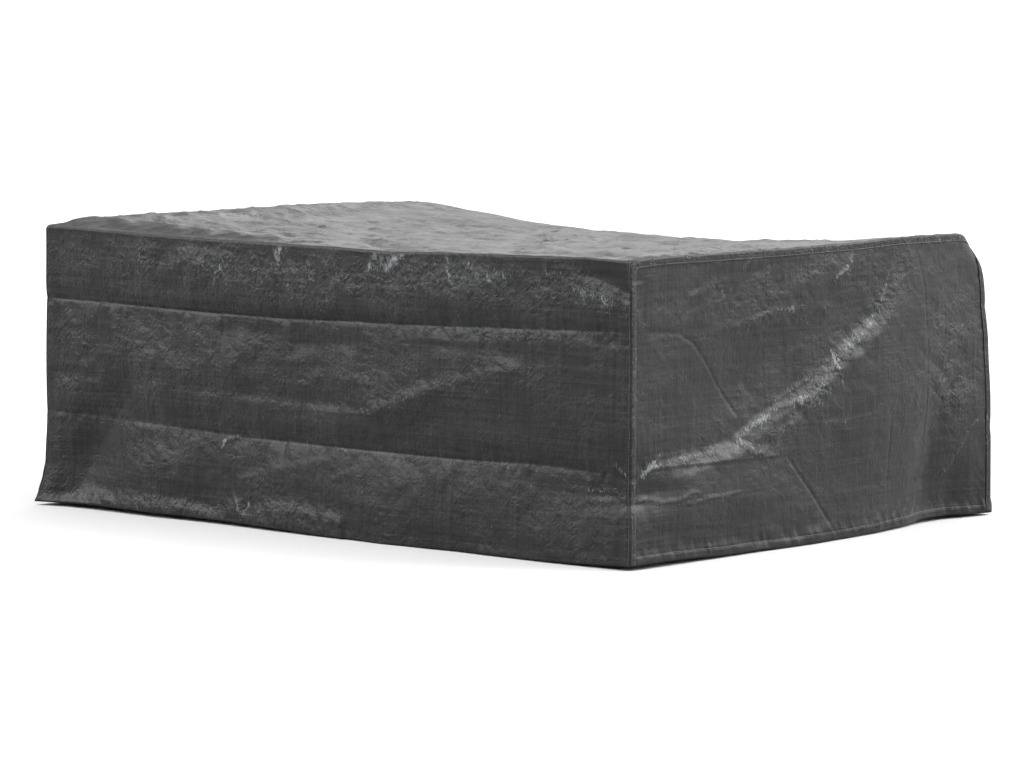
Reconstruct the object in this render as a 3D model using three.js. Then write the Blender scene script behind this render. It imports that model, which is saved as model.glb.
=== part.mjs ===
// A fitted rain cover for a patio lounge set, in the shape it takes over low garden furniture.
// It is cut and sewn from woven polyethylene: one long panel runs up the front wall, over the
// top and down the back wall, and an end panel closes each end. The long panel's edges are
// lapped round the corners over the end panels and stitched there, and the bottom is a
// turned-up hem. The cover is hollow and open below, and the furniture isn't modelled.
// Millimetres, +Z up, +X along the long walls, front wall facing -Y, origin on the ground
// under the middle.

import * as THREE from "three";

// Driving dimensions of the sewn cover.
const LENGTH = 2200; // along X, outside the end panels
const DEPTH = 1600; // along Y, outside the long walls
const HEIGHT = 800; // from the corners' hem to the top edges
const HEM_DROP = 11; // the deepest part of the hem hangs this far below the corners
const CLOTH = 2; // thickness that stands for the coated cloth
const HEM_TURN = 26; // height of the turned-up hem
const HEM_EXTRA = 1; // the hem's folded cloth stands proud by this
const LAP = 22; // width of the long panel's edge that lies on an end panel
const SEAM_CLEARANCE = 0.9; // between the cloths of a seam
const EDGE_ROUND = 18; // radius of the long panel's bend into the top
const LEAST_ROUND = 2; // radius of that bend at the lap's own edge
const FULL_LAP = SEAM_CLEARANCE + CLOTH;
const EDGE_CLEARANCE = 0.8; // between an end panel's cut edge and the fold that wraps it

const HALF_LENGTH = LENGTH / 2;
const HALF_DEPTH = DEPTH / 2;
const ALONG_X = new THREE.Vector3(1, 0, 0);
const ALONG_Y = new THREE.Vector3(0, 1, 0);
const TANGENT_STEP = 1.5; // half the length over which the hung cloth's slope is taken

// How far the cloth's shape reaches from an edge that was pushed or pulled.
const CORNER_REACH = 230;
const EDGE_REACH = 260;
const HEM_REACH = 150;

// Each corner seam's lean: how far it stands from its upright line, outward along X and
// along Y, at a height.
const CORNER_SEAMS = {
  front_right: { x: 1, y: -1, rows: [
    { z: 0, out_x: 6, out_y: 8 },
    { z: 120, out_x: 2, out_y: 2 },
    { z: 190, out_x: -11, out_y: -11 },
    { z: 250, out_x: -6, out_y: -6 },
    { z: 330, out_x: 3, out_y: 3 },
    { z: 650, out_x: 2, out_y: 2 },
    { z: HEIGHT, out_x: -3, out_y: -4 },
  ] },
  front_left: { x: -1, y: -1, rows: [
    { z: 0, out_x: 27, out_y: 27 },
    { z: 30, out_x: 21, out_y: 21 },
    { z: 75, out_x: 12, out_y: 12 },
    { z: 120, out_x: 6, out_y: 6 },
    { z: 240, out_x: 2, out_y: 2 },
    { z: 420, out_x: 3, out_y: 3 },
    { z: HEIGHT, out_x: 0, out_y: 0 },
  ] },
  back_right: { x: 1, y: 1, rows: [
    { z: 0, out_x: 5, out_y: 4 },
    { z: 190, out_x: 4, out_y: 5 },
    { z: 320, out_x: 3, out_y: 3 },
    { z: 490, out_x: -3, out_y: -3 },
    { z: 580, out_x: -8, out_y: -8 },
    { z: 690, out_x: -14, out_y: -14 },
    { z: HEIGHT, out_x: -16, out_y: -16 },
  ] },
  back_left: { x: -1, y: 1, rows: [
    { z: 0, out_x: 16, out_y: 22 },
    { z: 60, out_x: 9, out_y: 13 },
    { z: 150, out_x: 1, out_y: 3 },
    { z: 400, out_x: -4, out_y: -3 },
    { z: 650, out_x: -6, out_y: -5 },
    { z: HEIGHT, out_x: -12, out_y: -8 },
  ] },
};

// Each top edge's line: outward and upward from the straight edge, at a place along it.
const TOP_EDGES = {
  front: [
    { at: -1100, out: 0, up: 2 }, { at: -960, out: 3, up: 1 }, { at: -660, out: 0, up: -4 },
    { at: -420, out: -3, up: -7 }, { at: -180, out: -2, up: -7 }, { at: 250, out: -5, up: -11 },
    { at: 480, out: -2, up: -4 }, { at: 820, out: 2, up: 3 }, { at: 1000, out: 2, up: 6 },
    { at: 1100, out: 0, up: 2 },
  ],
  back: [
    { at: -1100, out: 0, up: 4 }, { at: -840, out: -4, up: -19 }, { at: -590, out: -10, up: -43 },
    { at: -350, out: -14, up: -62 }, { at: -110, out: -16, up: -74 }, { at: 115, out: -16, up: -75 },
    { at: 340, out: -14, up: -65 }, { at: 560, out: -10, up: -47 }, { at: 800, out: -5, up: -26 },
    { at: 1100, out: 0, up: -3 },
  ],
  right: [
    { at: -800, out: 0, up: 1 }, { at: -710, out: 2, up: 8 }, { at: -430, out: -2, up: 3 },
    { at: -170, out: -4, up: 1 }, { at: 160, out: -3, up: 1 }, { at: 370, out: 0, up: 6 },
    { at: 620, out: 2, up: 3 }, { at: 800, out: 0, up: 0 },
  ],
  left: [
    { at: -800, out: 0, up: 3 }, { at: -750, out: -1, up: 10 }, { at: -680, out: -3, up: 20 },
    { at: -500, out: -4, up: 17 }, { at: -100, out: -6, up: 15 }, { at: 350, out: -5, up: 14 },
    { at: 600, out: -2, up: 8 }, { at: 800, out: 0, up: 3 },
  ],
};

// Each hem's line, in the same way.
const HEMS = {
  front: [
    { at: -1100, out: 0, up: -1 }, { at: -930, out: -4, up: 2 }, { at: -680, out: 10, up: 2 },
    { at: -440, out: 2, up: 0 }, { at: -200, out: 14, up: -2 }, { at: 20, out: 16, up: -8 },
    { at: 250, out: 22, up: -11 }, { at: 470, out: 12, up: -8 }, { at: 790, out: 18, up: -9 },
    { at: 1000, out: 6, up: -5 }, { at: 1100, out: 0, up: 1 },
  ],
  back: [
    { at: -1100, out: 0, up: 0 }, { at: -900, out: 14, up: -4 }, { at: -640, out: -6, up: -2 },
    { at: -380, out: 20, up: -9 }, { at: -90, out: 2, up: -6 }, { at: 210, out: 24, up: -10 },
    { at: 520, out: 4, up: -4 }, { at: 830, out: 16, up: -8 }, { at: 1100, out: 0, up: -4 },
  ],
  right: [
    { at: -800, out: 0, up: 0 }, { at: -660, out: 6, up: 3 }, { at: -420, out: 12, up: -4 },
    { at: -30, out: 24, up: -8 }, { at: 240, out: 14, up: -6 }, { at: 400, out: -2, up: -3 },
    { at: 540, out: -26, up: 1 }, { at: 620, out: -30, up: 2 }, { at: 720, out: -10, up: -1 },
    { at: 800, out: 0, up: -4 },
  ],
  left: [
    { at: -800, out: 0, up: 0 }, { at: -600, out: -12, up: 4 }, { at: -330, out: 14, up: -6 },
    { at: -40, out: 4, up: -3 }, { at: 260, out: 20, up: -9 }, { at: 560, out: -4, up: 0 },
    { at: 800, out: 0, up: 0 },
  ],
};

// The creases that the packed cover keeps. The cloth leans in towards the crease from above,
// over the upper width, and steps out again on a narrow ledge, over the lower width.
// The rows of the panels' meshes follow these lines.
const PACK_CREASES = {
  front: {
    high: { depth: 13, upper: 42, lower: 13, line: [
      { at: -1100, z: 592 }, { at: -420, z: 587 }, { at: -150, z: 586 }, { at: 100, z: 594 },
      { at: 700, z: 603 }, { at: 1100, z: 613 },
    ] },
    low: { depth: 12, upper: 30, lower: 15, line: [
      { at: -1100, z: 266 }, { at: -680, z: 257 }, { at: -310, z: 243 }, { at: 460, z: 240 },
      { at: 790, z: 248 }, { at: 1100, z: 236 },
    ] },
  },
  back: {
    high: { depth: 20, upper: 50, lower: 20, line: [
      { at: -1100, z: 588 }, { at: -500, z: 560 }, { at: 60, z: 548 }, { at: 640, z: 566 },
      { at: 1100, z: 590 },
    ] },
    low: { depth: 15, upper: 36, lower: 18, line: [
      { at: -1100, z: 250 }, { at: -420, z: 238 }, { at: 240, z: 250 }, { at: 1100, z: 244 },
    ] },
  },
};

// The soft hollows and swellings of each wall and of the top: the middle, the half width
// across and along, a turn in degrees, and how far the cloth stands out there.
const SWELLINGS = {
  front: [
    { across: -905, up: 175, wide: 85, tall: 190, turn: -34, out: -17 },
    { across: -620, up: 130, wide: 190, tall: 90, turn: 0, out: 9 },
    { across: -560, up: 420, wide: 330, tall: 120, turn: 4, out: 12 },
    { across: 190, up: 360, wide: 260, tall: 80, turn: 24, out: 10 },
    { across: 700, up: 400, wide: 260, tall: 130, turn: 0, out: 8 },
    { across: 250, up: 120, wide: 360, tall: 90, turn: 0, out: 8 },
    { across: -500, up: 690, wide: 300, tall: 70, turn: 0, out: 8 },
    { across: 420, up: 690, wide: 260, tall: 60, turn: 0, out: 9 },
    { across: 1010, up: 748, wide: 80, tall: 34, turn: -14, out: -24 },
  ],
  back: [
    { across: -620, up: 400, wide: 280, tall: 110, turn: -6, out: 16 },
    { across: 120, up: 400, wide: 330, tall: 110, turn: 4, out: 22 },
    { across: 760, up: 400, wide: 240, tall: 120, turn: 0, out: 14 },
    { across: -330, up: 680, wide: 260, tall: 60, turn: 5, out: 18 },
    { across: 420, up: 670, wide: 280, tall: 60, turn: -5, out: 16 },
    { across: 300, up: 120, wide: 300, tall: 80, turn: 0, out: 10 },
    { across: -880, up: 150, wide: 90, tall: 150, turn: -8, out: -16 },
  ],
  right: [
    { across: 240, up: 330, wide: 300, tall: 200, turn: 36, out: 22 },
    { across: -330, up: 470, wide: 230, tall: 110, turn: 30, out: -13 },
    { across: -420, up: 150, wide: 260, tall: 80, turn: 0, out: 8 },
    { across: 520, up: 170, wide: 70, tall: 170, turn: -14, out: -14 },
    { across: -40, up: 690, wide: 260, tall: 60, turn: 16, out: 6 },
  ],
  left: [
    { across: -320, up: 400, wide: 260, tall: 170, turn: -30, out: 15 },
    { across: 330, up: 470, wide: 240, tall: 130, turn: 25, out: -10 },
    { across: 300, up: 180, wide: 260, tall: 100, turn: 0, out: 14 },
    { across: -560, up: 160, wide: 70, tall: 150, turn: 10, out: -12 },
  ],
  top: [
    { across: 60, up: 60, wide: 760, tall: 520, turn: 0, out: -34 },
    { across: 500, up: 330, wide: 380, tall: 280, turn: 0, out: -18 },
    { across: -60, up: 660, wide: 620, tall: 80, turn: 0, out: -20 },
    { across: -990, up: 100, wide: 70, tall: 560, turn: 0, out: 8 },
    { across: 1010, up: -60, wide: 60, tall: 460, turn: 0, out: 5 },
    { across: 150, up: -690, wide: 230, tall: 45, turn: -34, out: -13 },
    { across: -760, up: -690, wide: 430, tall: 72, turn: 0, out: 23 },
    { across: -300, up: -735, wide: 120, tall: 48, turn: -14, out: 10 },
  ],
};

// The long diagonal fold of the right end wall and its ridge low at the near corner: the
// cloth below and to the right of the line stands out, over a soft step.
const END_FOLD = {
  line: [
    { y: -800, z: 236 }, { y: -560, z: 244 }, { y: -370, z: 285 }, { y: -170, z: 372 },
    { y: 0, z: 430 }, { y: 90, z: 500 }, { y: 215, z: 556 }, { y: 290, z: 610 }, { y: 350, z: 705 },
    { y: 390, z: 830 },
  ],
  step: 13,
  width: 60,
  carry: 230,
};

// How much of each top corner is pushed in where no furniture holds it out: the length cut
// off along the edges.
const SLACK_CORNERS = [
  { x: 1, y: 1, cut: 100 },
  { x: -1, y: 1, cut: 34 },
  { x: 1, y: -1, cut: 16 },
  { x: -1, y: -1, cut: 10 },
];

// Places of the mesh rows. A wall's rows go from the hem to the bend into the top, as
// distances from the hem, from a crease or from the top.
const WALL_ROWS = [
  { from: "hem", up: 0 },
  { from: "hem", up: HEM_TURN },
  { from: "hem", up: 75 },
  { from: "hem", up: 145 },
  { from: "low", up: -42 },
  { from: "low", up: -14 },
  { from: "low", up: 0 },
  { from: "low", up: 34 },
  { from: "low", up: 90 },
  { from: "low", up: 160 },
  { from: "high", up: -110 },
  { from: "high", up: -50 },
  { from: "high", up: -13 },
  { from: "high", up: 0 },
  { from: "high", up: 42 },
  { from: "high", up: 92 },
  { from: "top", up: -60 },
  { from: "top", up: -EDGE_ROUND },
];
const HEM_ROWS = 2; // the rows that bound the hem
const TOP_ROWS = 24; // spaces across the top, between its bends
const BEND_TURNS = [0, 45, 90]; // degrees round the bend into the top, from the wall
const BESIDE_BEND = 25; // the top's first row, from the bend
const SEAM_COLUMN = 28; // the long panel's first column of cells, beside a seam
const COLUMNS = 34; // and the even ones between

function smooth(t) {
  const u = Math.min(1, Math.max(0, t));
  return u * u * (3 - 2 * u);
}

// A value from a table at a place, eased between its rows.
function along(rows, key, place, column) {
  const last = rows.length - 1;
  if (place <= rows[0][key]) return rows[0][column];
  if (place >= rows[last][key]) return rows[last][column];
  const i = rows.findIndex((row) => row[key] >= place);
  const before = rows[i - 1];
  const after = rows[i];
  const t = (place - before[key]) / (after[key] - before[key]);
  const ease = 0.5 * t + 0.5 * smooth(t);
  return before[column] + (after[column] - before[column]) * ease;
}

function fade(distance, reach) {
  return Math.exp(-((distance / reach) ** 2));
}

// A value where it is above zero, with a rounded start.
function softExcess(value, rounding) {
  if (value <= -rounding) return 0;
  if (value >= rounding) return value;
  return (value + rounding) ** 2 / (4 * rounding);
}

// The outward relief of the soft hollows and swellings of one wall.
function swelling(rows, across, up) {
  let out = 0;
  for (const row of rows) {
    const turn = THREE.MathUtils.degToRad(row.turn);
    const a = across - row.across;
    const b = up - row.up;
    const u = (a * Math.cos(turn) + b * Math.sin(turn)) / row.wide;
    const v = (b * Math.cos(turn) - a * Math.sin(turn)) / row.tall;
    out += row.out * Math.exp(-(u * u + v * v));
  }
  return out;
}

// The relief of one packing crease, and its height at a place along the wall.
function creaseRelief(crease, across, z) {
  const above = z - along(crease.line, "at", across, "z");
  return -crease.depth * Math.exp(-Math.abs(above) / (above > 0 ? crease.upper : crease.lower));
}

// The relief of the end wall's diagonal fold: a step out below and to the right of its line.
function endFoldRelief(y, z) {
  let nearest = Infinity;
  let side = 0;
  for (let i = 1; i < END_FOLD.line.length; i++) {
    const a = END_FOLD.line[i - 1];
    const b = END_FOLD.line[i];
    const run = b.y - a.y;
    const rise = b.z - a.z;
    const size = Math.hypot(run, rise);
    const t = Math.min(1, Math.max(0, ((y - a.y) * run + (z - a.z) * rise) / size ** 2));
    const away = Math.hypot(y - a.y - t * run, z - a.z - t * rise);
    if (away < nearest) {
      nearest = away;
      side = Math.sign((y - a.y) * rise - (z - a.z) * run);
    }
  }
  const past = side * nearest;
  const ends = smooth((y + HALF_DEPTH) / 120) * smooth((HALF_DEPTH - y) / 300);
  const under = smooth((HEIGHT - z) / 220);
  return END_FOLD.step * smooth(past / END_FOLD.width + 0.5) * fade(Math.max(0, past), END_FOLD.carry) * ends * under;
}

// How far a wall's own relief holds at a place: it dies out at the seams and at the top.
function wallHold(across, half, z) {
  return smooth((half - Math.abs(across)) / 90) * smooth((HEIGHT - z) / 60);
}

function frontOrBack(name, x, z) {
  const creases = PACK_CREASES[name];
  const seams = 0.35 + 0.65 * smooth((HALF_LENGTH - Math.abs(x)) / 90);
  const pressed = creaseRelief(creases.high, x, z) + creaseRelief(creases.low, x, z);
  return swelling(SWELLINGS[name], x, z) * wallHold(x, HALF_LENGTH, z) + pressed * seams * smooth((HEIGHT - z) / 60);
}

function endWall(name, y, z) {
  const fold = name === "right" ? endFoldRelief(y, z) : 0;
  return (swelling(SWELLINGS[name], y, z) + fold) * wallHold(y, HALF_DEPTH, z);
}

function topRelief(x, y) {
  const hold = smooth((HALF_LENGTH - Math.abs(x)) / 70) * smooth((HALF_DEPTH - Math.abs(y)) / 60);
  return swelling(SWELLINGS.top, x, y) * hold;
}

// Where the cloth of the plain box goes when it hangs: the move of a point of the box.
function hang(point) {
  const { x, y, z } = point;
  const move = new THREE.Vector3();

  for (const seam of Object.values(CORNER_SEAMS)) {
    const away = Math.abs(x - seam.x * HALF_LENGTH) + Math.abs(y - seam.y * HALF_DEPTH);
    const share = fade(away, CORNER_REACH);
    move.x += share * seam.x * along(seam.rows, "z", z, "out_x");
    move.y += share * seam.y * along(seam.rows, "z", z, "out_y");
  }

  const walls = [
    { name: "front", depth: y + HALF_DEPTH, place: x, half: HALF_LENGTH, normal: [0, -1] },
    { name: "back", depth: HALF_DEPTH - y, place: x, half: HALF_LENGTH, normal: [0, 1] },
    { name: "right", depth: HALF_LENGTH - x, place: y, half: HALF_DEPTH, normal: [1, 0] },
    { name: "left", depth: x + HALF_LENGTH, place: y, half: HALF_DEPTH, normal: [-1, 0] },
  ];
  for (const wall of walls) {
    const nearTop = fade(Math.hypot(wall.depth, HEIGHT - z), EDGE_REACH);
    const nearHem = fade(wall.depth, 40) * fade(z, HEM_REACH);
    const seamHold = smooth((wall.half - Math.abs(wall.place)) / 60);
    const onWall = fade(wall.depth, 40);
    let out = nearTop * along(TOP_EDGES[wall.name], "at", wall.place, "out") * seamHold;
    out += nearHem * along(HEMS[wall.name], "at", wall.place, "out") * seamHold;
    const relief = wall.half === HALF_LENGTH ? frontOrBack : endWall;
    out += onWall * relief(wall.name, wall.place, z);
    move.x += out * wall.normal[0];
    move.y += out * wall.normal[1];
    // The upright moves of two walls meet at a corner, so each gives way to the nearer edge.
    const own = walls.reduce((sum, other) => sum + fade(other.depth, EDGE_REACH / 2), 1e-6);
    const share = fade(wall.depth, EDGE_REACH / 2) / own;
    move.z += share * nearTop * along(TOP_EDGES[wall.name], "at", wall.place, "up");
    move.z += share * fade(z, HEM_REACH) * along(HEMS[wall.name], "at", wall.place, "up");
  }
  move.z += topRelief(x, y) * fade(HEIGHT - z, 40);
  return move.add(cornerSlack(x, y, z));
}

// The push that flattens a slack top corner onto a slanting face.
function cornerSlack(x, y, z) {
  const push = new THREE.Vector3();
  for (const corner of SLACK_CORNERS) {
    const inward = new THREE.Vector3(-corner.x, -corner.y, -1).normalize();
    const reach = HALF_LENGTH - corner.x * x + (HALF_DEPTH - corner.y * y) + (HEIGHT - z);
    const depth = softExcess(corner.cut - reach, corner.cut * 0.45);
    push.addScaledVector(inward, depth / Math.sqrt(3));
  }
  return push;
}

// The rows of a long wall at one place along it, as heights.
function rowHeight(row, wall, x) {
  const base = {
    hem: 0,
    low: along(PACK_CREASES[wall].low.line, "at", x, "z"),
    high: along(PACK_CREASES[wall].high.line, "at", x, "z"),
    top: HEIGHT,
  };
  return base[row.from] + row.up;
}

// The rows over the top, front to back: even ones, and one more beside each bend.
function topPlaces() {
  const end = HALF_DEPTH - EDGE_ROUND;
  const places = [-end + BESIDE_BEND];
  for (let i = 1; i < TOP_ROWS; i++) places.push(-end + (2 * end * i) / TOP_ROWS);
  return [...places, end - BESIDE_BEND];
}

// The path of the long panel at one place along X: up the front, over the top, down the back.
// Each stop has its place, its outward normal, and whether it is in the hem. The path can be
// taken further in, towards the cover's inside.
function pathStops(x, inset = 0) {
  const radius = Math.max(EDGE_ROUND - inset, LEAST_ROUND);
  const centre = inset + radius;
  const stops = [];
  const wallStops = (wall, side) =>
    WALL_ROWS.map((row, index) => ({
      y: side * (HALF_DEPTH - inset),
      z: rowHeight(row, wall, x),
      normal: new THREE.Vector3(0, side, 0),
      hem: index < HEM_ROWS,
    }));
  const bendStops = (side) =>
    BEND_TURNS.map((degrees) => {
      const turn = THREE.MathUtils.degToRad(degrees);
      const normal = new THREE.Vector3(0, side * Math.cos(turn), Math.sin(turn));
      return {
        y: side * (HALF_DEPTH - centre) + normal.y * radius,
        z: HEIGHT - centre + normal.z * radius,
        normal,
        hem: false,
      };
    });
  stops.push(...wallStops("front", -1).slice(0, -1), ...bendStops(-1));
  for (const y of topPlaces()) {
    stops.push({
      y,
      z: HEIGHT - inset,
      normal: new THREE.Vector3(0, 0, 1),
      hem: false,
    });
  }
  stops.push(...bendStops(1).reverse(), ...wallStops("back", 1).slice(0, -1).reverse());
  return stops;
}

// A cloth as a closed solid: a grid of nodes, each with a point on the outer face and one on
// the inner face. Rows and columns are walked so that the outer face looks outward.
function sheetSolid(grid) {
  const rows = grid.length;
  const columns = grid[0].length;
  const positions = [];
  for (const face of ["outer", "inner"])
    for (const row of grid)
      for (const node of row) positions.push(node[face].x, node[face].y, node[face].z);
  const outer = (i, j) => i * columns + j;
  const inner = (i, j) => rows * columns + i * columns + j;
  const index = [];
  const quad = (a, b, c, d) => index.push(a, b, c, a, c, d);
  for (let i = 0; i + 1 < rows; i++)
    for (let j = 0; j + 1 < columns; j++) {
      quad(outer(i, j), outer(i, j + 1), outer(i + 1, j + 1), outer(i + 1, j));
      index.push(inner(i, j), inner(i + 1, j + 1), inner(i, j + 1));
      index.push(inner(i, j), inner(i + 1, j), inner(i + 1, j + 1));
    }
  for (let j = 0; j + 1 < columns; j++) {
    quad(outer(0, j), inner(0, j), inner(0, j + 1), outer(0, j + 1));
    quad(outer(rows - 1, j), outer(rows - 1, j + 1), inner(rows - 1, j + 1), inner(rows - 1, j));
  }
  for (let i = 0; i + 1 < rows; i++) {
    quad(outer(i, 0), outer(i + 1, 0), inner(i + 1, 0), inner(i, 0));
    quad(outer(i, columns - 1), inner(i, columns - 1), inner(i + 1, columns - 1), outer(i + 1, columns - 1));
  }
  const geometry = new THREE.BufferGeometry();
  geometry.setAttribute("position", new THREE.Float32BufferAttribute(positions, 3));
  geometry.setIndex(index);
  geometry.computeVertexNormals();
  return geometry;
}

// A point of the plain box where it hangs, and which way the hung cloth faces there. The
// tangent is one direction in the cloth, and the normal is the plain box's.
function hung(point) {
  return point.clone().add(hang(point));
}

function facing(point, tangent, normal) {
  const other = normal.clone().cross(tangent);
  const span = (direction) => {
    const before = hung(point.clone().addScaledVector(direction, -TANGENT_STEP));
    return hung(point.clone().addScaledVector(direction, TANGENT_STEP)).sub(before);
  };
  return span(tangent).cross(span(other)).normalize();
}

// The two faces of a cloth at one place: so far out and so far in along its normal.
function faces(place, normal, out, inward) {
  return {
    outer: place.clone().addScaledVector(normal, out),
    inner: place.clone().addScaledVector(normal, inward),
  };
}

function endPlace(side, stop) {
  const base = new THREE.Vector3(side * HALF_LENGTH, stop.y, stop.z);
  return { place: hung(base), normal: facing(base, ALONG_Y, new THREE.Vector3(side, 0, 0)) };
}

function endNode(side, stop, out, inward) {
  const { place, normal } = endPlace(side, stop);
  return faces(place, normal, out, inward);
}

// A place between the fold at a seam line and the lap's own edge, and which way the end wall
// faces there.
function lapPlace(side, fold, lap, inset) {
  const share = inset / LAP;
  const start = endPlace(side, fold);
  const end = endPlace(side, lap);
  return {
    place: start.place.lerp(end.place, share),
    normal: start.normal.lerp(end.normal, share).normalize(),
  };
}

// The end panel's node at its edge, a little inside the fold.
function rimNode(side, fold, lap) {
  const { place, normal } = lapPlace(side, fold, lap, CLOTH + EDGE_CLEARANCE);
  return faces(place, normal, fold.hem ? HEM_EXTRA : 0, -CLOTH);
}

// The long panel's node at a seam line, where it folds round onto the end panel.
function foldNode(side, fold, lap) {
  const proud = fold.hem ? HEM_EXTRA : 0;
  const base = new THREE.Vector3(side * HALF_LENGTH, fold.y, fold.z);
  const own = facing(base, ALONG_X, fold.normal);
  const outside = lapPlace(side, fold, lap, 0);
  const inside = lapPlace(side, fold, lap, CLOTH);
  return {
    outer: outside.place.addScaledVector(outside.normal, FULL_LAP + proud).addScaledVector(own, proud),
    inner: inside.place.addScaledVector(inside.normal, SEAM_CLEARANCE + proud),
  };
}

// The long panel: front wall, top and back wall in one length, with both its edges lapped
// over the end panels.
function longPanel() {
  const even = HALF_LENGTH - SEAM_COLUMN;
  const columns = [];
  for (let i = 0; i <= COLUMNS; i++) columns.push(-even + (2 * even * i) / COLUMNS);
  const paths = columns.map((x) => pathStops(x));
  const edges = [-1, 1].map((side) => ({
    side,
    fold: pathStops(side * HALF_LENGTH),
    lap: pathStops(side * HALF_LENGTH, LAP),
  }));
  const grid = paths[0].map((_, i) => {
    const proud = paths[0][i].hem ? HEM_EXTRA : 0;
    const row = columns.map((x, j) => {
      const stop = paths[j][i];
      const base = new THREE.Vector3(x, stop.y, stop.z);
      return faces(hung(base), facing(base, ALONG_X, stop.normal), proud, -CLOTH);
    });
    const [left, right] = edges.map(({ side, fold, lap }) => [
      foldNode(side, fold[i], lap[i]),
      endNode(side, lap[i], FULL_LAP + proud, SEAM_CLEARANCE + proud),
    ]);
    return [left[1], left[0], ...row, right[0], right[1]];
  });
  return sheetSolid(grid);
}

// The places of an end panel's wall inside the lap: its rows run from the front wall's to the
// back wall's, and its columns from the hem to the top's.
function endWallStops(side) {
  const line = pathStops(side * HALF_LENGTH, LAP);
  const last = line.length - 1;
  const up = WALL_ROWS.length; // the middle of the first bend
  const foot = line[0];
  const shoulder = line[up];
  return Array.from({ length: up + 1 }, (_, i) =>
    Array.from({ length: last - 2 * up + 1 }, (_, j) => {
      const s = j / (last - 2 * up);
      const t = i / up;
      const crown = line[up + j];
      const sides = { y: line[i].y * (1 - 2 * s), z: line[i].z * (1 - s) + line[last - i].z * s };
      const ends = { y: crown.y * (t + ((1 - t) * foot.y) / shoulder.y), z: t * crown.z };
      const corners = { y: (1 - 2 * s) * ((1 - t) * foot.y + t * shoulder.y), z: t * shoulder.z };
      return {
        y: sides.y + ends.y - corners.y,
        z: sides.z + ends.z - corners.z,
        hem: i < HEM_ROWS,
      };
    }),
  );
}

// An end panel: the wall inside the lap, and the frame of cells under the lap. The frame's
// cells are split the way the lap's are, so the two cloths lie face to face.
function endPanel(side) {
  const fold = pathStops(side * HALF_LENGTH);
  const lap = pathStops(side * HALF_LENGTH, LAP);
  const points = [];
  const rim = fold.map((stop, k) => points.push(rimNode(side, stop, lap[k])) - 1);
  const wall = endWallStops(side).map((row) =>
    row.map((stop) => points.push(endNode(side, stop, stop.hem ? HEM_EXTRA : 0, -CLOTH)) - 1),
  );
  const up = wall.length - 1;
  const last = rim.length - 1;
  const rows = wall.map((row, i) => [rim[i], ...row, rim[last - i]]);
  const cells = [];
  for (let i = 0; i < up; i++)
    for (let j = 0; j + 1 < rows[i].length; j++)
      cells.push([rows[i][j], rows[i][j + 1], rows[i + 1][j + 1], rows[i + 1][j]]);
  for (let k = 0; k + 1 < wall[up].length; k++)
    cells.push([rim[up + k], wall[up][k], wall[up][k + 1], rim[up + k + 1]]);
  const turned = side > 0 ? cells : cells.map(([a, b, c, d]) => [b, c, d, a]);
  return plateSolid(points, turned, side);
}

// A cloth as a closed solid from nodes and four-sided cells, with walls round its border.
function plateSolid(points, cells, side) {
  const count = points.length;
  const positions = [];
  for (const face of ["outer", "inner"])
    for (const point of points) positions.push(point[face].x, point[face].y, point[face].z);
  const index = [];
  const edges = new Map();
  const triangle = (a, b, c) => (side > 0 ? index.push(a, b, c) : index.push(a, c, b));
  for (const [a, b, c, d] of cells) {
    triangle(a, b, c);
    triangle(a, c, d);
    triangle(a + count, c + count, b + count);
    triangle(a + count, d + count, c + count);
    for (const [p, q] of [[a, b], [b, c], [c, d], [d, a]]) {
      if (edges.has(`${q}-${p}`)) edges.delete(`${q}-${p}`);
      else edges.set(`${p}-${q}`, [p, q]);
    }
  }
  for (const [p, q] of edges.values()) {
    triangle(q, p, p + count);
    triangle(q, p + count, q + count);
  }
  const geometry = new THREE.BufferGeometry();
  geometry.setAttribute("position", new THREE.Float32BufferAttribute(positions, 3));
  geometry.setIndex(index);
  geometry.computeVertexNormals();
  return geometry;
}

function coatedCloth(colour) {
  return new THREE.MeshStandardMaterial({
    color: new THREE.Color(colour),
    roughness: 0.42,
    metalness: 0,
    side: THREE.DoubleSide,
  });
}

function named(name, geometry, colour) {
  const mesh = new THREE.Mesh(geometry, coatedCloth(colour));
  mesh.name = name;
  return mesh;
}

const cover = new THREE.Group();
cover.add(
  named("long_panel", longPanel(), 0x3f4042),
  named("end_panel_right", endPanel(1), 0x444547),
  named("end_panel_left", endPanel(-1), 0x444547),
);
// The hem's deepest part brushes the ground.
cover.position.z = HEM_DROP;

export default cover;
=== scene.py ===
# %% [markdown]
# # A fitted cover for a patio lounge set
# The cover is a big, thin, hollow thing: one long strip of coated woven cloth that runs up the
# front, over the top and down the back, with an end panel sewn in at each end. Nothing about it
# is stiff. What makes it look real is the way it hangs on the furniture, the creases that it
# kept from its pack, and the crumpled, slightly shiny coating.
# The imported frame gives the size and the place, and every piece below is laid on it.

# %% Load the frame
import math

import bpy
import numpy as np
from mathutils import Matrix, Vector


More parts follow.
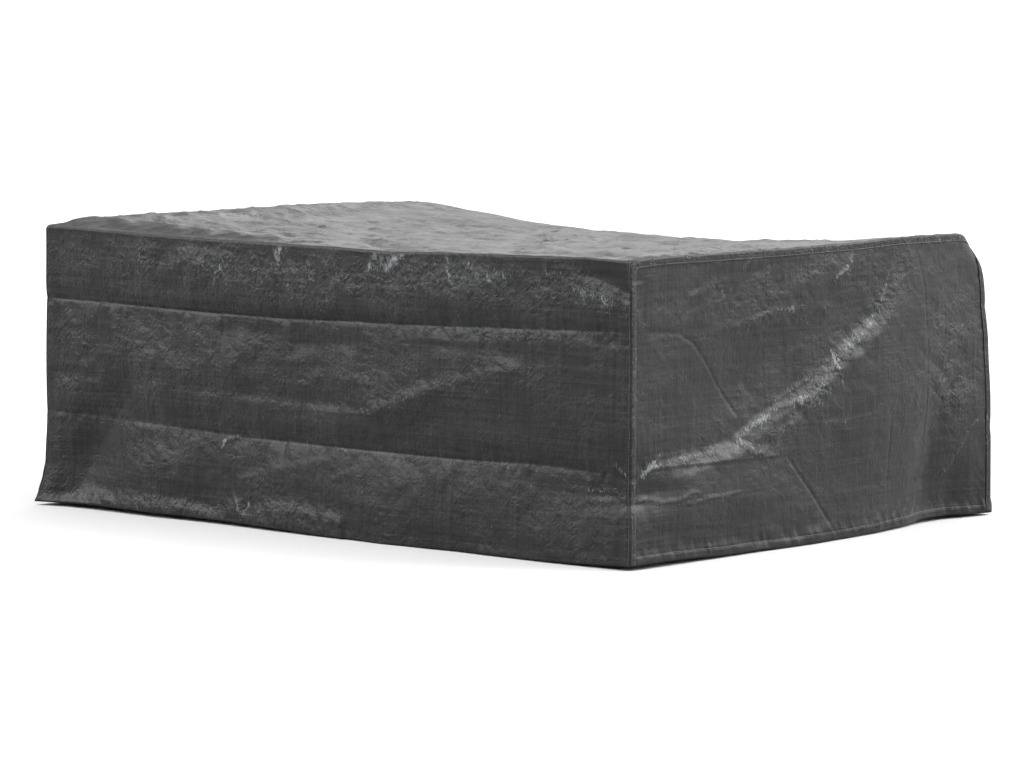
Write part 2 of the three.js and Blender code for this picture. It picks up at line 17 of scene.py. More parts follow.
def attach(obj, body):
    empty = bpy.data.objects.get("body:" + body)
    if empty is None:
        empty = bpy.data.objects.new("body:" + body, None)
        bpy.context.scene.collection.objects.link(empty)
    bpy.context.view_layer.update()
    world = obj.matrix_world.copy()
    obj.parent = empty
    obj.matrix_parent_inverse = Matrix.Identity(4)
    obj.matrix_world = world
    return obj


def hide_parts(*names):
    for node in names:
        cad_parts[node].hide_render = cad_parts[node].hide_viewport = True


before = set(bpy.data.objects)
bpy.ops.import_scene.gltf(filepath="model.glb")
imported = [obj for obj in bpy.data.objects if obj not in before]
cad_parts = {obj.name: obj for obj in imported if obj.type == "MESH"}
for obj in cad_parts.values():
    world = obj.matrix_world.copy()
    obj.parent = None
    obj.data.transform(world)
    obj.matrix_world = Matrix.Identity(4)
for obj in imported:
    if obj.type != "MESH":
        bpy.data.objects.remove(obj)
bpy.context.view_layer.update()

# %% [markdown]
# ## The camera
# A photographer stood some way off and zoomed in, so upright edges stay almost upright and the
# top is seen as a thin slice. A long lens far away does the same. The angle is set first,
# because everything after this is judged through it.

# %% Camera
CAMERA_TURN = math.radians(41.134)
CAMERA_RISE = math.radians(5.529)
CAMERA_AWAY = 14.0788
LENS, SENSOR_WIDTH = 171.97, 36
AIM_HEIGHT, AIM_LEFT, AIM_DOWN = 0.411, 0.0066, 0.0467


def place_camera():
    right = Vector((math.cos(CAMERA_TURN), math.sin(CAMERA_TURN), 0))
    level = math.cos(CAMERA_RISE)
    back = Vector((math.sin(CAMERA_TURN) * level, -math.cos(CAMERA_TURN) * level, math.sin(CAMERA_RISE)))
    up = back.cross(right)
    target = Vector((0, 0, AIM_HEIGHT)) - AIM_LEFT * right - AIM_DOWN * up
    data = bpy.data.cameras.new("camera")
    data.lens, data.sensor_width, data.clip_end = LENS, SENSOR_WIDTH, 400
    camera = bpy.data.objects.new("camera", data)
    turn = Matrix((right, up, back)).transposed().to_4x4()
    camera.matrix_world = Matrix.Translation(target + CAMERA_AWAY * back) @ turn
    bpy.context.scene.collection.objects.link(camera)
    bpy.context.scene.camera = camera
    return camera


print("camera at", [round(c, 3) for c in place_camera().matrix_world.translation])

# %% [markdown]
# ## The studio
# Dark cloth shows its shape almost only by what it reflects. A lit room with walls could be
# built, but a sky that is brighter in some directions does the same and renders faster. This
# one grows brighter towards the right and overhead, which lifts the end wall above the front one,
# and has two soft windows that the folds of the two near walls catch. Four lamps add the last
# of the light and the shadows, and the floor is plain and pale.

# %% The floor
FLOOR_RADIUS, FLOOR_TONE = 170, 0.35


def studio_floor():
    bpy.ops.mesh.primitive_circle_add(vertices=96, radius=FLOOR_RADIUS, fill_type="NGON")
    floor = bpy.context.object
    floor.name = "studio_floor"
    material = bpy.data.materials.new("studio_floor")
    material.use_nodes = True
    shader = material.node_tree.nodes["Principled BSDF"]
    shader.inputs["Base Color"].default_value = (FLOOR_TONE, FLOOR_TONE, FLOOR_TONE, 1)
    shader.inputs["Roughness"].default_value = 0.9
    floor.data.materials.append(material)
    return floor


print("floor", studio_floor().name, "reaches", FLOOR_RADIUS, "m")


# %% The sky
def sky_part(tree, direction, way, low, high, dim, bright):
    """A brightness that grows with how far a direction leans a given way."""
    toward = tree.nodes.new("ShaderNodeVectorMath")
    toward.operation = "DOT_PRODUCT"
    toward.inputs[1].default_value = Vector(way).normalized()
    tree.links.new(direction, toward.inputs[0])
    part = tree.nodes.new("ShaderNodeMapRange")
    part.interpolation_type = "SMOOTHSTEP"
    for key, number in zip(("From Min", "From Max", "To Min", "To Max"), (low, high, dim, bright)):
        part.inputs[key].default_value = number
    tree.links.new(toward.outputs["Value"], part.inputs["Value"])
    return part.outputs["Result"]


# the way a part of the sky leans, from where to where it grows, how dim and how bright it is
SKY_PARTS = {
    "around": ((0.86, 0.5, 0), -0.8, 0.71, 0.1, 1.8),
    "above": ((0, 0, 1), 0.2, 0.95, 0, 1.9),
    "left_window": ((-0.555, -0.64, 0.53), 0.86, 0.975, 0, 11),
    "right_window": ((0.56, 0.64, 0.53), 0.86, 0.975, 0, 12.5),
}


def sky():
    """The parts of the sky added up, as a white light."""
    world = bpy.data.worlds.new("sky")
    world.use_nodes = True
    tree = world.node_tree
    direction = tree.nodes.new("ShaderNodeTexCoord").outputs["Generated"]
    strength = tree.nodes["Background"].inputs["Strength"]
    total = None
    for way, low, high, dim, bright in SKY_PARTS.values():
        part = sky_part(tree, direction, way, low, high, dim, bright)
        if total is None:
            total = part
            continue
        adding = tree.nodes.new("ShaderNodeMath")
        tree.links.new(total, adding.inputs[0])
        tree.links.new(part, adding.inputs[1])
        total = adding.outputs[0]
    tree.links.new(total, strength)
    tree.nodes["Background"].inputs["Color"].default_value = (1, 1, 1, 1)
    bpy.context.scene.world = world


sky()
print("sky parts", list(SKY_PARTS))


# %% The lamps
def soft_light(name, place, look_at, size, power):
    data = bpy.data.lights.new(name, "AREA")
    data.shape, data.size, data.size_y, data.energy = "RECTANGLE", size[0], size[1], power
    light = bpy.data.objects.new(name, data)
    light.location = place
    light.rotation_euler = (Vector(look_at) - Vector(place)).to_track_quat("-Z", "Y").to_euler()
    bpy.context.scene.collection.objects.link(light)


soft_light("top_light", (-1.4, -2.2, 4.4), (0, -0.6, 0.5), (1.3, 1.0), 28)
soft_light("front_light", (1.2, -6.5, 2.9), (0, -0.8, 0.4), (1.0, 0.8), 26)
soft_light("end_light", (5.2, 1.6, 4.4), (1.1, 0, 0.4), (1.3, 1.0), 80)
soft_light("back_light", (-6.5, 8.0, 4.6), (0, 0, 0.8), (4, 1.5), 80)
bpy.context.scene.view_settings.view_transform = "Standard"

# %% [markdown]
# ## How the cover hangs
# A box of cloth is pushed and pulled by what is inside it. The corners lean, the top sags
# between the chair backs, the hem wanders in and out, and where nothing fills a corner the
# cloth falls into a slanting face. A cloth simulation would find some shape like this, but not
# this one, so the moves are written down: short tables say how far each edge leaves
# the plain box, and the cloth between them follows smoothly.
# Places and moves are in millimetres here, and become metres when a mesh is made.

# %% Sizes and small helpers
LENGTH, DEPTH, HEIGHT = 2200.0, 1600.0, 800.0
HALF_LENGTH, HALF_DEPTH = LENGTH / 2, DEPTH / 2
HEM_DROP = 11.0
HEM_TURN = 26.0
LAP = 22.0
EDGE_ROUND = 8.0
CORNER_REACH, EDGE_REACH, HEM_REACH = 230.0, 260.0, 150.0


def rows(names, *lines):
    """A table: its columns by name, each an array."""
    return {name: np.array(column, float) for name, column in zip(names.split(), zip(*lines))}


def smooth(t):
    t = np.clip(t, 0.0, 1.0)
    return t * t * (3 - 2 * t)


def fade(distance, reach):
    return np.exp(-((distance / reach) ** 2))


def along(table, key, place, column):
    """A column's value at a place, eased between the table's rows."""
    keys, values = table[key], table[column]
    place = np.clip(place, keys[0], keys[-1])
    after = np.clip(np.searchsorted(keys, place), 1, len(keys) - 1)
    t = (place - keys[after - 1]) / (keys[after] - keys[after - 1])
    ease = 0.5 * t + 0.5 * smooth(t)
    return values[after - 1] + (values[after] - values[after - 1]) * ease


def soft_excess(value, rounding):
    rounded = (value + rounding) ** 2 / (4 * rounding)
    return np.where(value <= -rounding, 0, np.where(value >= rounding, value, rounded))


print("sewn size", LENGTH, "x", DEPTH, "x", HEIGHT, "mm")

# %% The edges' own lines
CORNER_SEAMS = [
    (1, -1, rows("z out_x out_y", (0, 6, 8), (120, 2, 2), (190, -11, -11), (250, -6, -6),
                 (330, 3, 3), (650, 2, 2), (800, -3, -4))),
    (-1, -1, rows("z out_x out_y", (0, 27, 27), (30, 21, 21), (75, 12, 12), (120, 6, 6),
                  (240, 2, 2), (420, 3, 3), (800, 0, 0))),
    (1, 1, rows("z out_x out_y", (0, 5, 4), (190, 4, 5), (320, 3, 3), (490, -3, -3),
                (580, -8, -8), (690, -14, -14), (800, -16, -16))),
    (-1, 1, rows("z out_x out_y", (0, 16, 22), (60, 9, 13), (150, 1, 3), (400, -4, -3),
                 (650, -6, -5), (800, -12, -8))),
]
TOP_EDGES = {
    "front": rows("at out up", (-1100, 0, 2), (-960, 3, 1), (-660, 0, -4), (-420, -3, -7),
                  (-180, -2, -7), (250, -5, -11), (480, -2, -4), (820, 2, 3), (1000, 2, 6),
                  (1100, 0, 2)),
    "back": rows("at out up", (-1100, 0, 4), (-840, -4, -19), (-590, -10, -43),
                 (-350, -14, -62), (-110, -16, -74), (115, -16, -75), (340, -14, -65),
                 (560, -10, -47), (800, -5, -26), (1100, 0, -3)),
    "right": rows("at out up", (-800, 0, 1), (-710, 2, 8), (-430, -2, 3), (-170, -4, 1),
                  (160, -3, 1), (370, 0, 6), (620, 2, 3), (800, 0, 0)),
    "left": rows("at out up", (-800, 0, 3), (-750, -1, 10), (-680, -3, 20), (-500, -4, 17),
                 (-100, -6, 15), (350, -5, 14), (600, -2, 8), (800, 0, 3)),
}
HEMS = {
    "front": rows("at out up", (-1100, 0, -1), (-930, -4, 2), (-680, 10, 2), (-440, 2, 0),
                  (-200, 14, -2), (20, 16, -8), (250, 22, -11), (470, 12, -8), (790, 18, -9),
                  (1000, 6, -5), (1100, 0, 1)),
    "back": rows("at out up", (-1100, 0, 0), (-900, 14, -4), (-640, -6, -2), (-380, 20, -9),
                 (-90, 2, -6), (210, 24, -10), (520, 4, -4), (830, 16, -8), (1100, 0, -4)),
    "right": rows("at out up", (-800, 0, 0), (-660, 6, 3), (-420, 12, -4), (-30, 24, -8),
                  (240, 14, -6), (400, -2, -3), (540, -26, 1), (620, -30, 2), (720, -10, -1),
                  (800, 0, -4)),
    "left": rows("at out up", (-800, 0, 0), (-600, -12, 4), (-330, 14, -6), (-40, 4, -3),
                 (260, 20, -9), (560, -4, 0), (800, 0, 0)),
}
print("edges with their own lines:", len(CORNER_SEAMS) + len(TOP_EDGES) + len(HEMS))

# %% [markdown]
# ## Packing creases and soft hollows
# The cover was sold folded flat. Two creases still run round the long walls: the cloth leans in
# towards each from above and steps out again on a narrow ledge, which catches the light. The
# right end wall has one long diagonal fold that starts low at the near corner.
# Wide hollows and swellings make the rest, each an oval that stands in or out.

# %% Creases, the end fold, hollows
CREASE = "at z depth upper lip lip_wide lower"
PACK_CREASES = {
    "front": [
        rows(CREASE, (-1100, 592, 12, 36, 3.6, 4, 150), (-420, 587, 15, 36, 4.6, 4, 260),
             (-150, 586, 15, 36, 4.6, 4, 260), (100, 594, 12, 36, 3.6, 6, 150), (400, 598, 8, 30, 3, 14, 50),
             (700, 603, 6, 28, 2.5, 10, 40), (1100, 613, 4, 24, 1, 8, 30)),
        rows(CREASE, (-1100, 266, 4, 60, 1, 8, 30), (-680, 257, 5, 60, 3, 11, 30),
             (-310, 243, 8, 70, 4.6, 18, 34), (0, 241, 9, 60, 5, 18, 36), (460, 240, 8, 50, 4.6, 18, 34),
             (790, 248, 7, 50, 4, 16, 32), (1100, 236, 3, 40, 1, 8, 24)),
    ],
    "back": [
        rows(CREASE, (-1100, 588, 16, 50, 4, 9, 30), (-500, 560, 20, 50, 5, 9, 30),
             (60, 548, 20, 50, 4, 9, 34), (640, 566, 18, 46, 5, 9, 30), (1100, 590, 12, 40, 3, 9, 26)),
        rows(CREASE, (-1100, 250, 10, 36, 3, 9, 24), (-420, 238, 14, 40, 4, 9, 22),
             (240, 250, 15, 40, 5, 9, 22), (1100, 244, 9, 36, 3, 9, 22)),
    ],
}
OVAL = "across up wide tall turn out"
HOLLOWS = {
    "front": rows(OVAL, (-905, 175, 85, 190, -34, -17), (-620, 130, 190, 90, 0, 9),
                  (-560, 420, 330, 120, 4, 12), (190, 360, 260, 80, 24, 10),
                  (700, 400, 260, 130, 0, 8), (250, 120, 360, 90, 0, 8),
                  (-500, 690, 300, 70, 0, 8), (420, 690, 260, 60, 0, 9),
                  (1010, 758, 80, 30, -14, -4)),
    "back": rows(OVAL, (-620, 400, 280, 110, -6, 16), (120, 400, 330, 110, 4, 22),
                 (760, 400, 240, 120, 0, 14), (-330, 680, 260, 60, 5, 18),
                 (420, 670, 280, 60, -5, 16), (300, 120, 300, 80, 0, 10),
                 (-880, 150, 90, 150, -8, -16)),
    "right": rows(OVAL, (240, 330, 300, 200, 36, 22), (-330, 470, 230, 110, 30, -13),
                  (-420, 150, 260, 80, 0, 8), (520, 170, 70, 170, -14, -14),
                  (-40, 690, 260, 60, 16, 6)),
    "left": rows(OVAL, (-320, 400, 260, 170, -30, 15), (330, 470, 240, 130, 25, -10),
                 (300, 180, 260, 100, 0, 14), (-560, 160, 70, 150, 10, -12)),
    "top": rows(OVAL, (60, 60, 760, 520, 0, -34), (500, 330, 380, 280, 0, -18),
                (-60, 660, 620, 80, 0, -20), (-990, 100, 70, 560, 0, 8),
                (1010, -60, 60, 460, 0, 5), (150, -690, 230, 45, -34, -13),
                (-760, -690, 430, 72, 0, 23), (-300, -735, 120, 48, -14, 10)),
}
END_FOLD = [(-800, 236), (-560, 244), (-370, 285), (-170, 372), (0, 430), (90, 500), (215, 556),
            (290, 610), (350, 705), (390, 830)]
END_FOLD_STEP, END_FOLD_WIDTH, END_FOLD_CARRY = 13.0, 60.0, 230.0
SLACK_CORNERS = [(1, 1, 100), (-1, 1, 34), (1, -1, 16), (-1, -1, 10)]
# pinched places of the near seam: how high, how deep, how tall, how far along the walls
PINCHES = [(159, 4, 9, 36), (228, 3, 12, 40), (748, 3, 14, 40)]


def swelling(table, across, up):
    out = np.zeros_like(across)
    for k in range(len(table["across"])):
        turn = math.radians(table["turn"][k])
        a, b = across - table["across"][k], up - table["up"][k]
        u = (a * math.cos(turn) + b * math.sin(turn)) / table["wide"][k]
        v = (b * math.cos(turn) - a * math.sin(turn)) / table["tall"][k]
        out = out + table["out"][k] * np.exp(-(u * u + v * v))
    return out


def crease_relief(crease, across, z):
    """The cloth leans in down to the crease, tucks in, steps out on a lip and then slowly."""
    names = CREASE.split()[2:]
    depth, upper, lip, lip_wide, lower = (along(crease, "at", across, name) for name in names)
    from_line = z - along(crease, "at", across, "z")
    above, below = np.maximum(from_line, 0), np.minimum(from_line, 0)
    tuck = 0.35 * depth
    lean = depth * np.clip(1 - above / upper, 0, 1) + tuck * np.exp(-above / 5)
    step = lip * np.exp(below / lip_wide) + (depth + tuck - lip) * np.exp(below / lower)
    return -np.where(from_line > 0, lean, step)


def nearest_on_line(line, across, up):
    """The distance to a bent line, which side of it a place is on, and how far along it is."""
    nearest = np.full(across.shape, np.inf)
    side = np.zeros(across.shape)
    reached = np.zeros(across.shape)
    done = 0.0
    for (a0, b0), (a1, b1) in zip(line, line[1:]):
        run, rise = a1 - a0, b1 - b0
        size = math.hypot(run, rise)
        t = np.clip(((across - a0) * run + (up - b0) * rise) / size**2, 0, 1)
        away = np.hypot(across - a0 - t * run, up - b0 - t * rise)
        closer = away < nearest
        side = np.where(closer, np.sign((across - a0) * rise - (up - b0) * run), side)
        reached = np.where(closer, done + t * size, reached)
        nearest = np.where(closer, away, nearest)
        done += size
    return nearest, side, reached, done


def end_fold_relief(y, z):
    nearest, side, _, _ = nearest_on_line(END_FOLD, y, z)
    past = side * nearest
    ends = smooth((y + HALF_DEPTH) / 240) * smooth((HALF_DEPTH - y) / 300) * smooth((HEIGHT - z) / 220)
    carried = fade(np.maximum(0, past), END_FOLD_CARRY)
    return END_FOLD_STEP * smooth(past / END_FOLD_WIDTH + 0.5) * carried * ends


def wall_relief(name, across, z):
    half = HALF_LENGTH if name in PACK_CREASES else HALF_DEPTH
    from_seam = half - np.abs(across)
    hold = smooth(from_seam / 90) * smooth((HEIGHT - z) / 60)
    out = swelling(HOLLOWS[name], across, z)
    if name == "right":
        out = out + end_fold_relief(across, z)
    out = out * hold
    for crease in PACK_CREASES.get(name, []):
        pressed = crease_relief(crease, across, z) * smooth((HEIGHT - z) / 60)
        out = out + pressed * (0.35 + 0.65 * smooth(from_seam / 90))
    return out


def top_relief(x, y):
    hold = smooth((HALF_LENGTH - np.abs(x)) / 70) * smooth((HALF_DEPTH - np.abs(y)) / 60)
    return swelling(HOLLOWS["top"], x, y) * hold


print("middle of the top sags", round(float(top_relief(np.zeros(1), np.zeros(1))[0]), 1), "mm")

# %% [markdown]
# ## The whole move
# Now the tables act together. Each place of the plain box is moved by the seam that is near it,
# by the wall it lies on and by the top, and each of these fades away from its own edge. Where
# two walls meet both have a say, so their shares are divided by their sum and no step shows.

# %% The slack corners
def corner_slack(x, y, z):
    """The push that flattens a slack top corner onto a slanting face."""
    push = np.zeros((3,) + x.shape)
    for side_x, side_y, cut in SLACK_CORNERS:
        reach = HALF_LENGTH - side_x * x + (HALF_DEPTH - side_y * y) + (HEIGHT - z)
        depth = soft_excess(cut - reach, cut * 0.45) / 3
        push += np.stack([-side_x * depth, -side_y * depth, -depth])
    return push


far_corner = corner_slack(*np.array([[HALF_LENGTH], [HALF_DEPTH], [HEIGHT]]))
print("the slack far right corner is pushed by", far_corner[:, 0].round(1), "mm")


# %% How the cloth hangs
WALL_DEEP = 40.0  # how far into the cover a wall's own relief and hem reach
SEAM_EASE = 60.0  # over which a wall's moves grow beside its seams
FACING_STEP = 1.5


def hung(base):
    """Where points of the plain box go when its cloth hangs."""
    x, y, z = np.moveaxis(base, -1, 0)
    move = corner_slack(x, y, z)
    for side_x, side_y, table in CORNER_SEAMS:
        share = fade(np.abs(x - side_x * HALF_LENGTH) + np.abs(y - side_y * HALF_DEPTH), CORNER_REACH)
        move[0] += share * side_x * along(table, "z", z, "out_x")
        move[1] += share * side_y * along(table, "z", z, "out_y")
    from_near_seam = np.abs(x - HALF_LENGTH) + np.abs(y + HALF_DEPTH)
    for high, deep, tall, reach in PINCHES:
        share = deep * fade(z - high, tall) * fade(from_near_seam, reach)
        move[0] -= share
        move[1] += share
    walls = [
        ("front", y + HALF_DEPTH, x, HALF_LENGTH, 1, -1),
        ("back", HALF_DEPTH - y, x, HALF_LENGTH, 1, 1),
        ("right", HALF_LENGTH - x, y, HALF_DEPTH, 0, 1),
        ("left", x + HALF_LENGTH, y, HALF_DEPTH, 0, -1),
    ]
    claim = sum(fade(wall[1], EDGE_REACH / 2) for wall in walls) + 1e-6
    for name, depth, place, half, axis, sign in walls:
        near_top = fade(np.hypot(depth, HEIGHT - z), EDGE_REACH)
        held = smooth((half - np.abs(place)) / SEAM_EASE)
        out = near_top * along(TOP_EDGES[name], "at", place, "out") * held
        on_wall = fade(depth, WALL_DEEP)
        out += on_wall * fade(z, HEM_REACH) * along(HEMS[name], "at", place, "out") * held
        out += on_wall * wall_relief(name, place, z)
        move[axis] += sign * out
        share = fade(depth, EDGE_REACH / 2) / claim
        move[2] += share * near_top * along(TOP_EDGES[name], "at", place, "up")
        move[2] += share * fade(z, HEM_REACH) * along(HEMS[name], "at", place, "up")
    move[2] += top_relief(x, y) * fade(HEIGHT - z, WALL_DEEP) + HEM_DROP
    return base + np.moveaxis(move, 0, -1)


def facing(base, tangent, normal):
    """Which way the hung cloth faces, from two short steps in the cloth."""
    spans = []
    for direction in (tangent, np.cross(normal, tangent)):
        spans.append(hung(base + FACING_STEP * direction) - hung(base - FACING_STEP * direction))
    out = np.cross(*spans)
    return out / np.linalg.norm(out, axis=-1, keepdims=True)


corner = hung(np.array([[HALF_LENGTH, -HALF_DEPTH, HEIGHT]]))[0]
print("near top corner hangs at", corner.round(1))

# %% [markdown]
# ## Crumples
# Coated cloth doesn't wrinkle softly: it crumples into small flat facets with sharp edges
# between them, as paper does. A net of random cells, each roofed like a hipped house and
# stretched a little, gives such facets, and a few nets of different sizes over each other give
# facets that never repeat. The large ones are in the mesh, and the small ones come later in the
# material.

# %% Crumple functions
def hills(u, v, seed):
    """Soft random hills between -1 and 1, one step apart."""
    heights = np.random.default_rng(seed).uniform(-1, 1, (97, 97))
    i, j = np.floor(u).astype(int), np.floor(v).astype(int)
    s, t = smooth(u - i), smooth(v - j)
    near = heights[i % 97, j % 97] * (1 - s) + heights[(i + 1) % 97, j % 97] * s
    far = heights[i % 97, (j + 1) % 97] * (1 - s) + heights[(i + 1) % 97, (j + 1) % 97] * s
    return near * (1 - t) + far * t


def roofs(u, v, seed):
    """A random net of cells, one step apart, each a hipped roof: the distance to its edge."""
    spots = np.random.default_rng(seed).uniform(0.05, 0.95, (64, 64, 2))
    i, j = np.floor(u).astype(int), np.floor(v).astype(int)
    steps = [(di, dj) for di in (-2, -1, 0, 1, 2) for dj in (-2, -1, 0, 1, 2)]
    near = []
    for di, dj in steps:
        spot = spots[(i + di) % 64, (j + dj) % 64]
        near.append((i + di + spot[..., 0] - u, j + dj + spot[..., 1] - v))
    far = np.stack([a * a + b * b for a, b in near])
    own = np.argmin(far, axis=0)[None]
    own_a = np.take_along_axis(np.stack([a for a, _ in near]), own, axis=0)[0]
    own_b = np.take_along_axis(np.stack([b for _, b in near]), own, axis=0)[0]
    edge = np.full(u.shape, 9.0)
    for a, b in near:
        across, up = a - own_a, b - own_b
        size = np.hypot(across, up)
        to_edge = ((own_a + a) * across + (own_b + b) * up) / (2 * np.maximum(size, 1e-6))
        edge = np.where(size > 1e-6, np.minimum(edge, to_edge), edge)
    return edge


# size of a facet, turn in degrees, stretch, steepness
NETS = [(170, -12, 1.5, 0.085), (98, 24, 1.7, -0.1), (56, -38, 2.4, 0.11), (33, 62, 3.0, -0.12)]


def crumple(u, v, seed):
    bent_u = u + 16 * hills(u / 55, v / 55, seed) + 5 * hills(u / 19, v / 19, seed + 1)
    bent_v = v + 16 * hills(u / 55, v / 55, seed + 2) + 5 * hills(u / 19, v / 19, seed + 3)
    out = np.zeros_like(u)
    for k, (size, turn, stretch, steep) in enumerate(NETS):
        c, s = math.cos(math.radians(turn)), math.sin(math.radians(turn))
        a, b = (bent_u * c + bent_v * s) / (size * stretch), (bent_v * c - bent_u * s) / size
        out += steep * size * (roofs(a, b, seed + 10 + k) - 0.2)
    return out


# %% [markdown]
# ## Long wrinkles of the top
# Where the top sags between its held edges the cloth is drawn tight, and long shallow wrinkles
# with a sharp crest run across it. Lines could be drawn one by one, but there are far too many.
# A soft random landscape, stretched long and folded up at its zero line, gives them all at once.

# %% Wrinkle function
# length, width, turn in degrees and height of the long wrinkles of the top
STREAKS = [(430, 60, -30, 5.5), (280, 32, -20, 4.0), (330, 44, -48, 4.0), (190, 20, -34, 2.6)]


def streaks(u, v, seed):
    """Long shallow wrinkles with a sharp crest, where sagging cloth is drawn tight."""
    out = np.zeros_like(u)
    for k, (length, width, turn, high) in enumerate(STREAKS):
        c, s = math.cos(math.radians(turn)), math.sin(math.radians(turn))
        a, b = (u * c + v * s) / length, (v * c - u * s) / width
        bent = b + 0.7 * hills(2.2 * a, b / 5, seed + 20 + k)
        out += high * (0.5 - np.abs(hills(a, bent, seed + k)))
    return out


print("long wrinkles of", len(STREAKS), "sizes, up to", STREAKS[0][0], "mm long")

# %% [markdown]
# ## Where the cloth is crumpled, and where highlights are painted
# A real cover isn't crumpled evenly: the strip under the top edge and the flare above the hem are
# crumpled most. Along the folds pale glints are painted into the colour as highlights. Painting
# this by hand on a picture would work, but a table of ovals is shorter and stays sharp at any size.

# %% Crumpled places and painted highlights
# how crumpled a wall is, and ovals that are more or less so
CRUMPLED = {
    "front": (0.34, rows(OVAL, (-700, 430, 420, 110, 0, 0.36), (-1010, 400, 90, 200, 0, 0.2),
                         (420, 715, 560, 60, 0, 0.5), (-420, 712, 560, 74, 0, 0.6),
                         (-560, 30, 420, 24, 0, 0.5), (-80, 60, 180, 24, 0, 0.4),
                         (930, 700, 170, 55, -8, 0.45), (-700, 190, 200, 60, 0, 0.2),
                         (480, 450, 300, 50, 15, 0.2), (40, 420, 160, 60, 0, 0.25),
                         (1015, 765, 70, 30, 0, -0.5), (700, 590, 360, 20, 0, 0.3))),
    "top": (0.55, rows(OVAL, (0, 0, 500, 300, 0, 0.1), (-800, -700, 360, 100, 0, -0.3))),
    "back": (0.5, rows(OVAL, (300, 420, 400, 120, 0, 0.4))),
    "right": (0.2, rows(OVAL, (60, 470, 330, 40, 36, 0.6), (-520, 270, 260, 24, 4, 0.5),
                        (-160, 700, 420, 60, 6, 0.3), (580, 430, 130, 160, 0, 0.6),
                        (-100, 618, 200, 20, 3, 0.3))),
    "left": (0.3, rows(OVAL, (0, 420, 380, 90, -30, 0.6))),
}
# how much highlight is painted on a wall, and ovals that have more or less of it
PAINTED_GLINTS = {
    "front": (0.1, rows(OVAL, (-350, 720, 700, 70, 0, 0.38), (240, 768, 80, 30, 20, 0.7),
                        (-165, 775, 34, 26, 0, 0.8), (560, 750, 320, 40, -4, 0.5),
                        (960, 705, 120, 22, -10, 0.45), (640, 592, 340, 10, 2, 0.5),
                        (-660, 24, 320, 20, 0, 0.4), (-120, 50, 180, 26, 0, 0.25),
                        (-1090, 16, 50, 26, 0, 0.5), (-640, 420, 420, 90, 0, 0.08),
                        (-850, 792, 40, 8, 0, 0.5), (1015, 765, 70, 30, 0, -0.2))),
    "top": (0.12, rows(OVAL, (-260, -640, 160, 40, -40, 0.3))),
    "back": (0.15, rows(OVAL, (300, 720, 300, 40, 0, 0.3))),
    "right": (0.1, rows(OVAL, (-310, 286, 110, 30, 8, 0.42), (-560, 266, 220, 14, 2, 0.3),
                        (70, 480, 330, 30, 34, 0.3), (-420, 700, 300, 40, 10, 0.15),
                        (260, 45, 200, 22, 4, 0.25), (560, 450, 120, 130, 0, 0.12),
                        (120, 350, 160, 40, 30, 0.15))),
    "left": (0.15, rows(OVAL, (60, 420, 330, 36, -30, 0.5))),
}


def over_wall(table, wall, across, up):
    base, ovals = table[wall]
    return base + swelling(ovals, across, up)


print("ovals", {wall: len(CRUMPLED[wall][1]["out"]) + len(PAINTED_GLINTS[wall][1]["out"]) for wall in CRUMPLED})

# %% [markdown]
# ## A test square of crumple
# The facets are easier to judge as numbers first: how high they stand, and how steep they are.

# %% Measure a square of crumple
test_u, test_v = np.meshgrid(np.arange(0, 400, 4.0), np.arange(0, 400, 4.0))
test = crumple(test_u, test_v, 3)
slopes = np.hypot(*np.gradient(test, 4.0))
print("crumple height", round(float(np.ptp(test)), 1), "mm, mean slope", round(float(slopes.mean()), 3))

# %% [markdown]
# ## Small folds of each wall
# Some folds are the cover's own: short bright tucks under the front top edge, the crossing
# packing creases of the end wall, pulls that run up from the hem, and ripples that fan out over
# the top from the near corner. A soft fold is a rounded ridge, or a valley where its height is
# below zero, and a very wide one is a hollow. A sharp fold has two flat slopes that meet in an
# edge, each as wide as its table says: the first slope lies on the left as one walks along the
# line. Both die out at their ends. Each fold also says how much highlight is painted along it,
# as a paler colour.

# %% Folds of the front wall
SOFT_FOLDS, SHARP_FOLDS = {}, {}
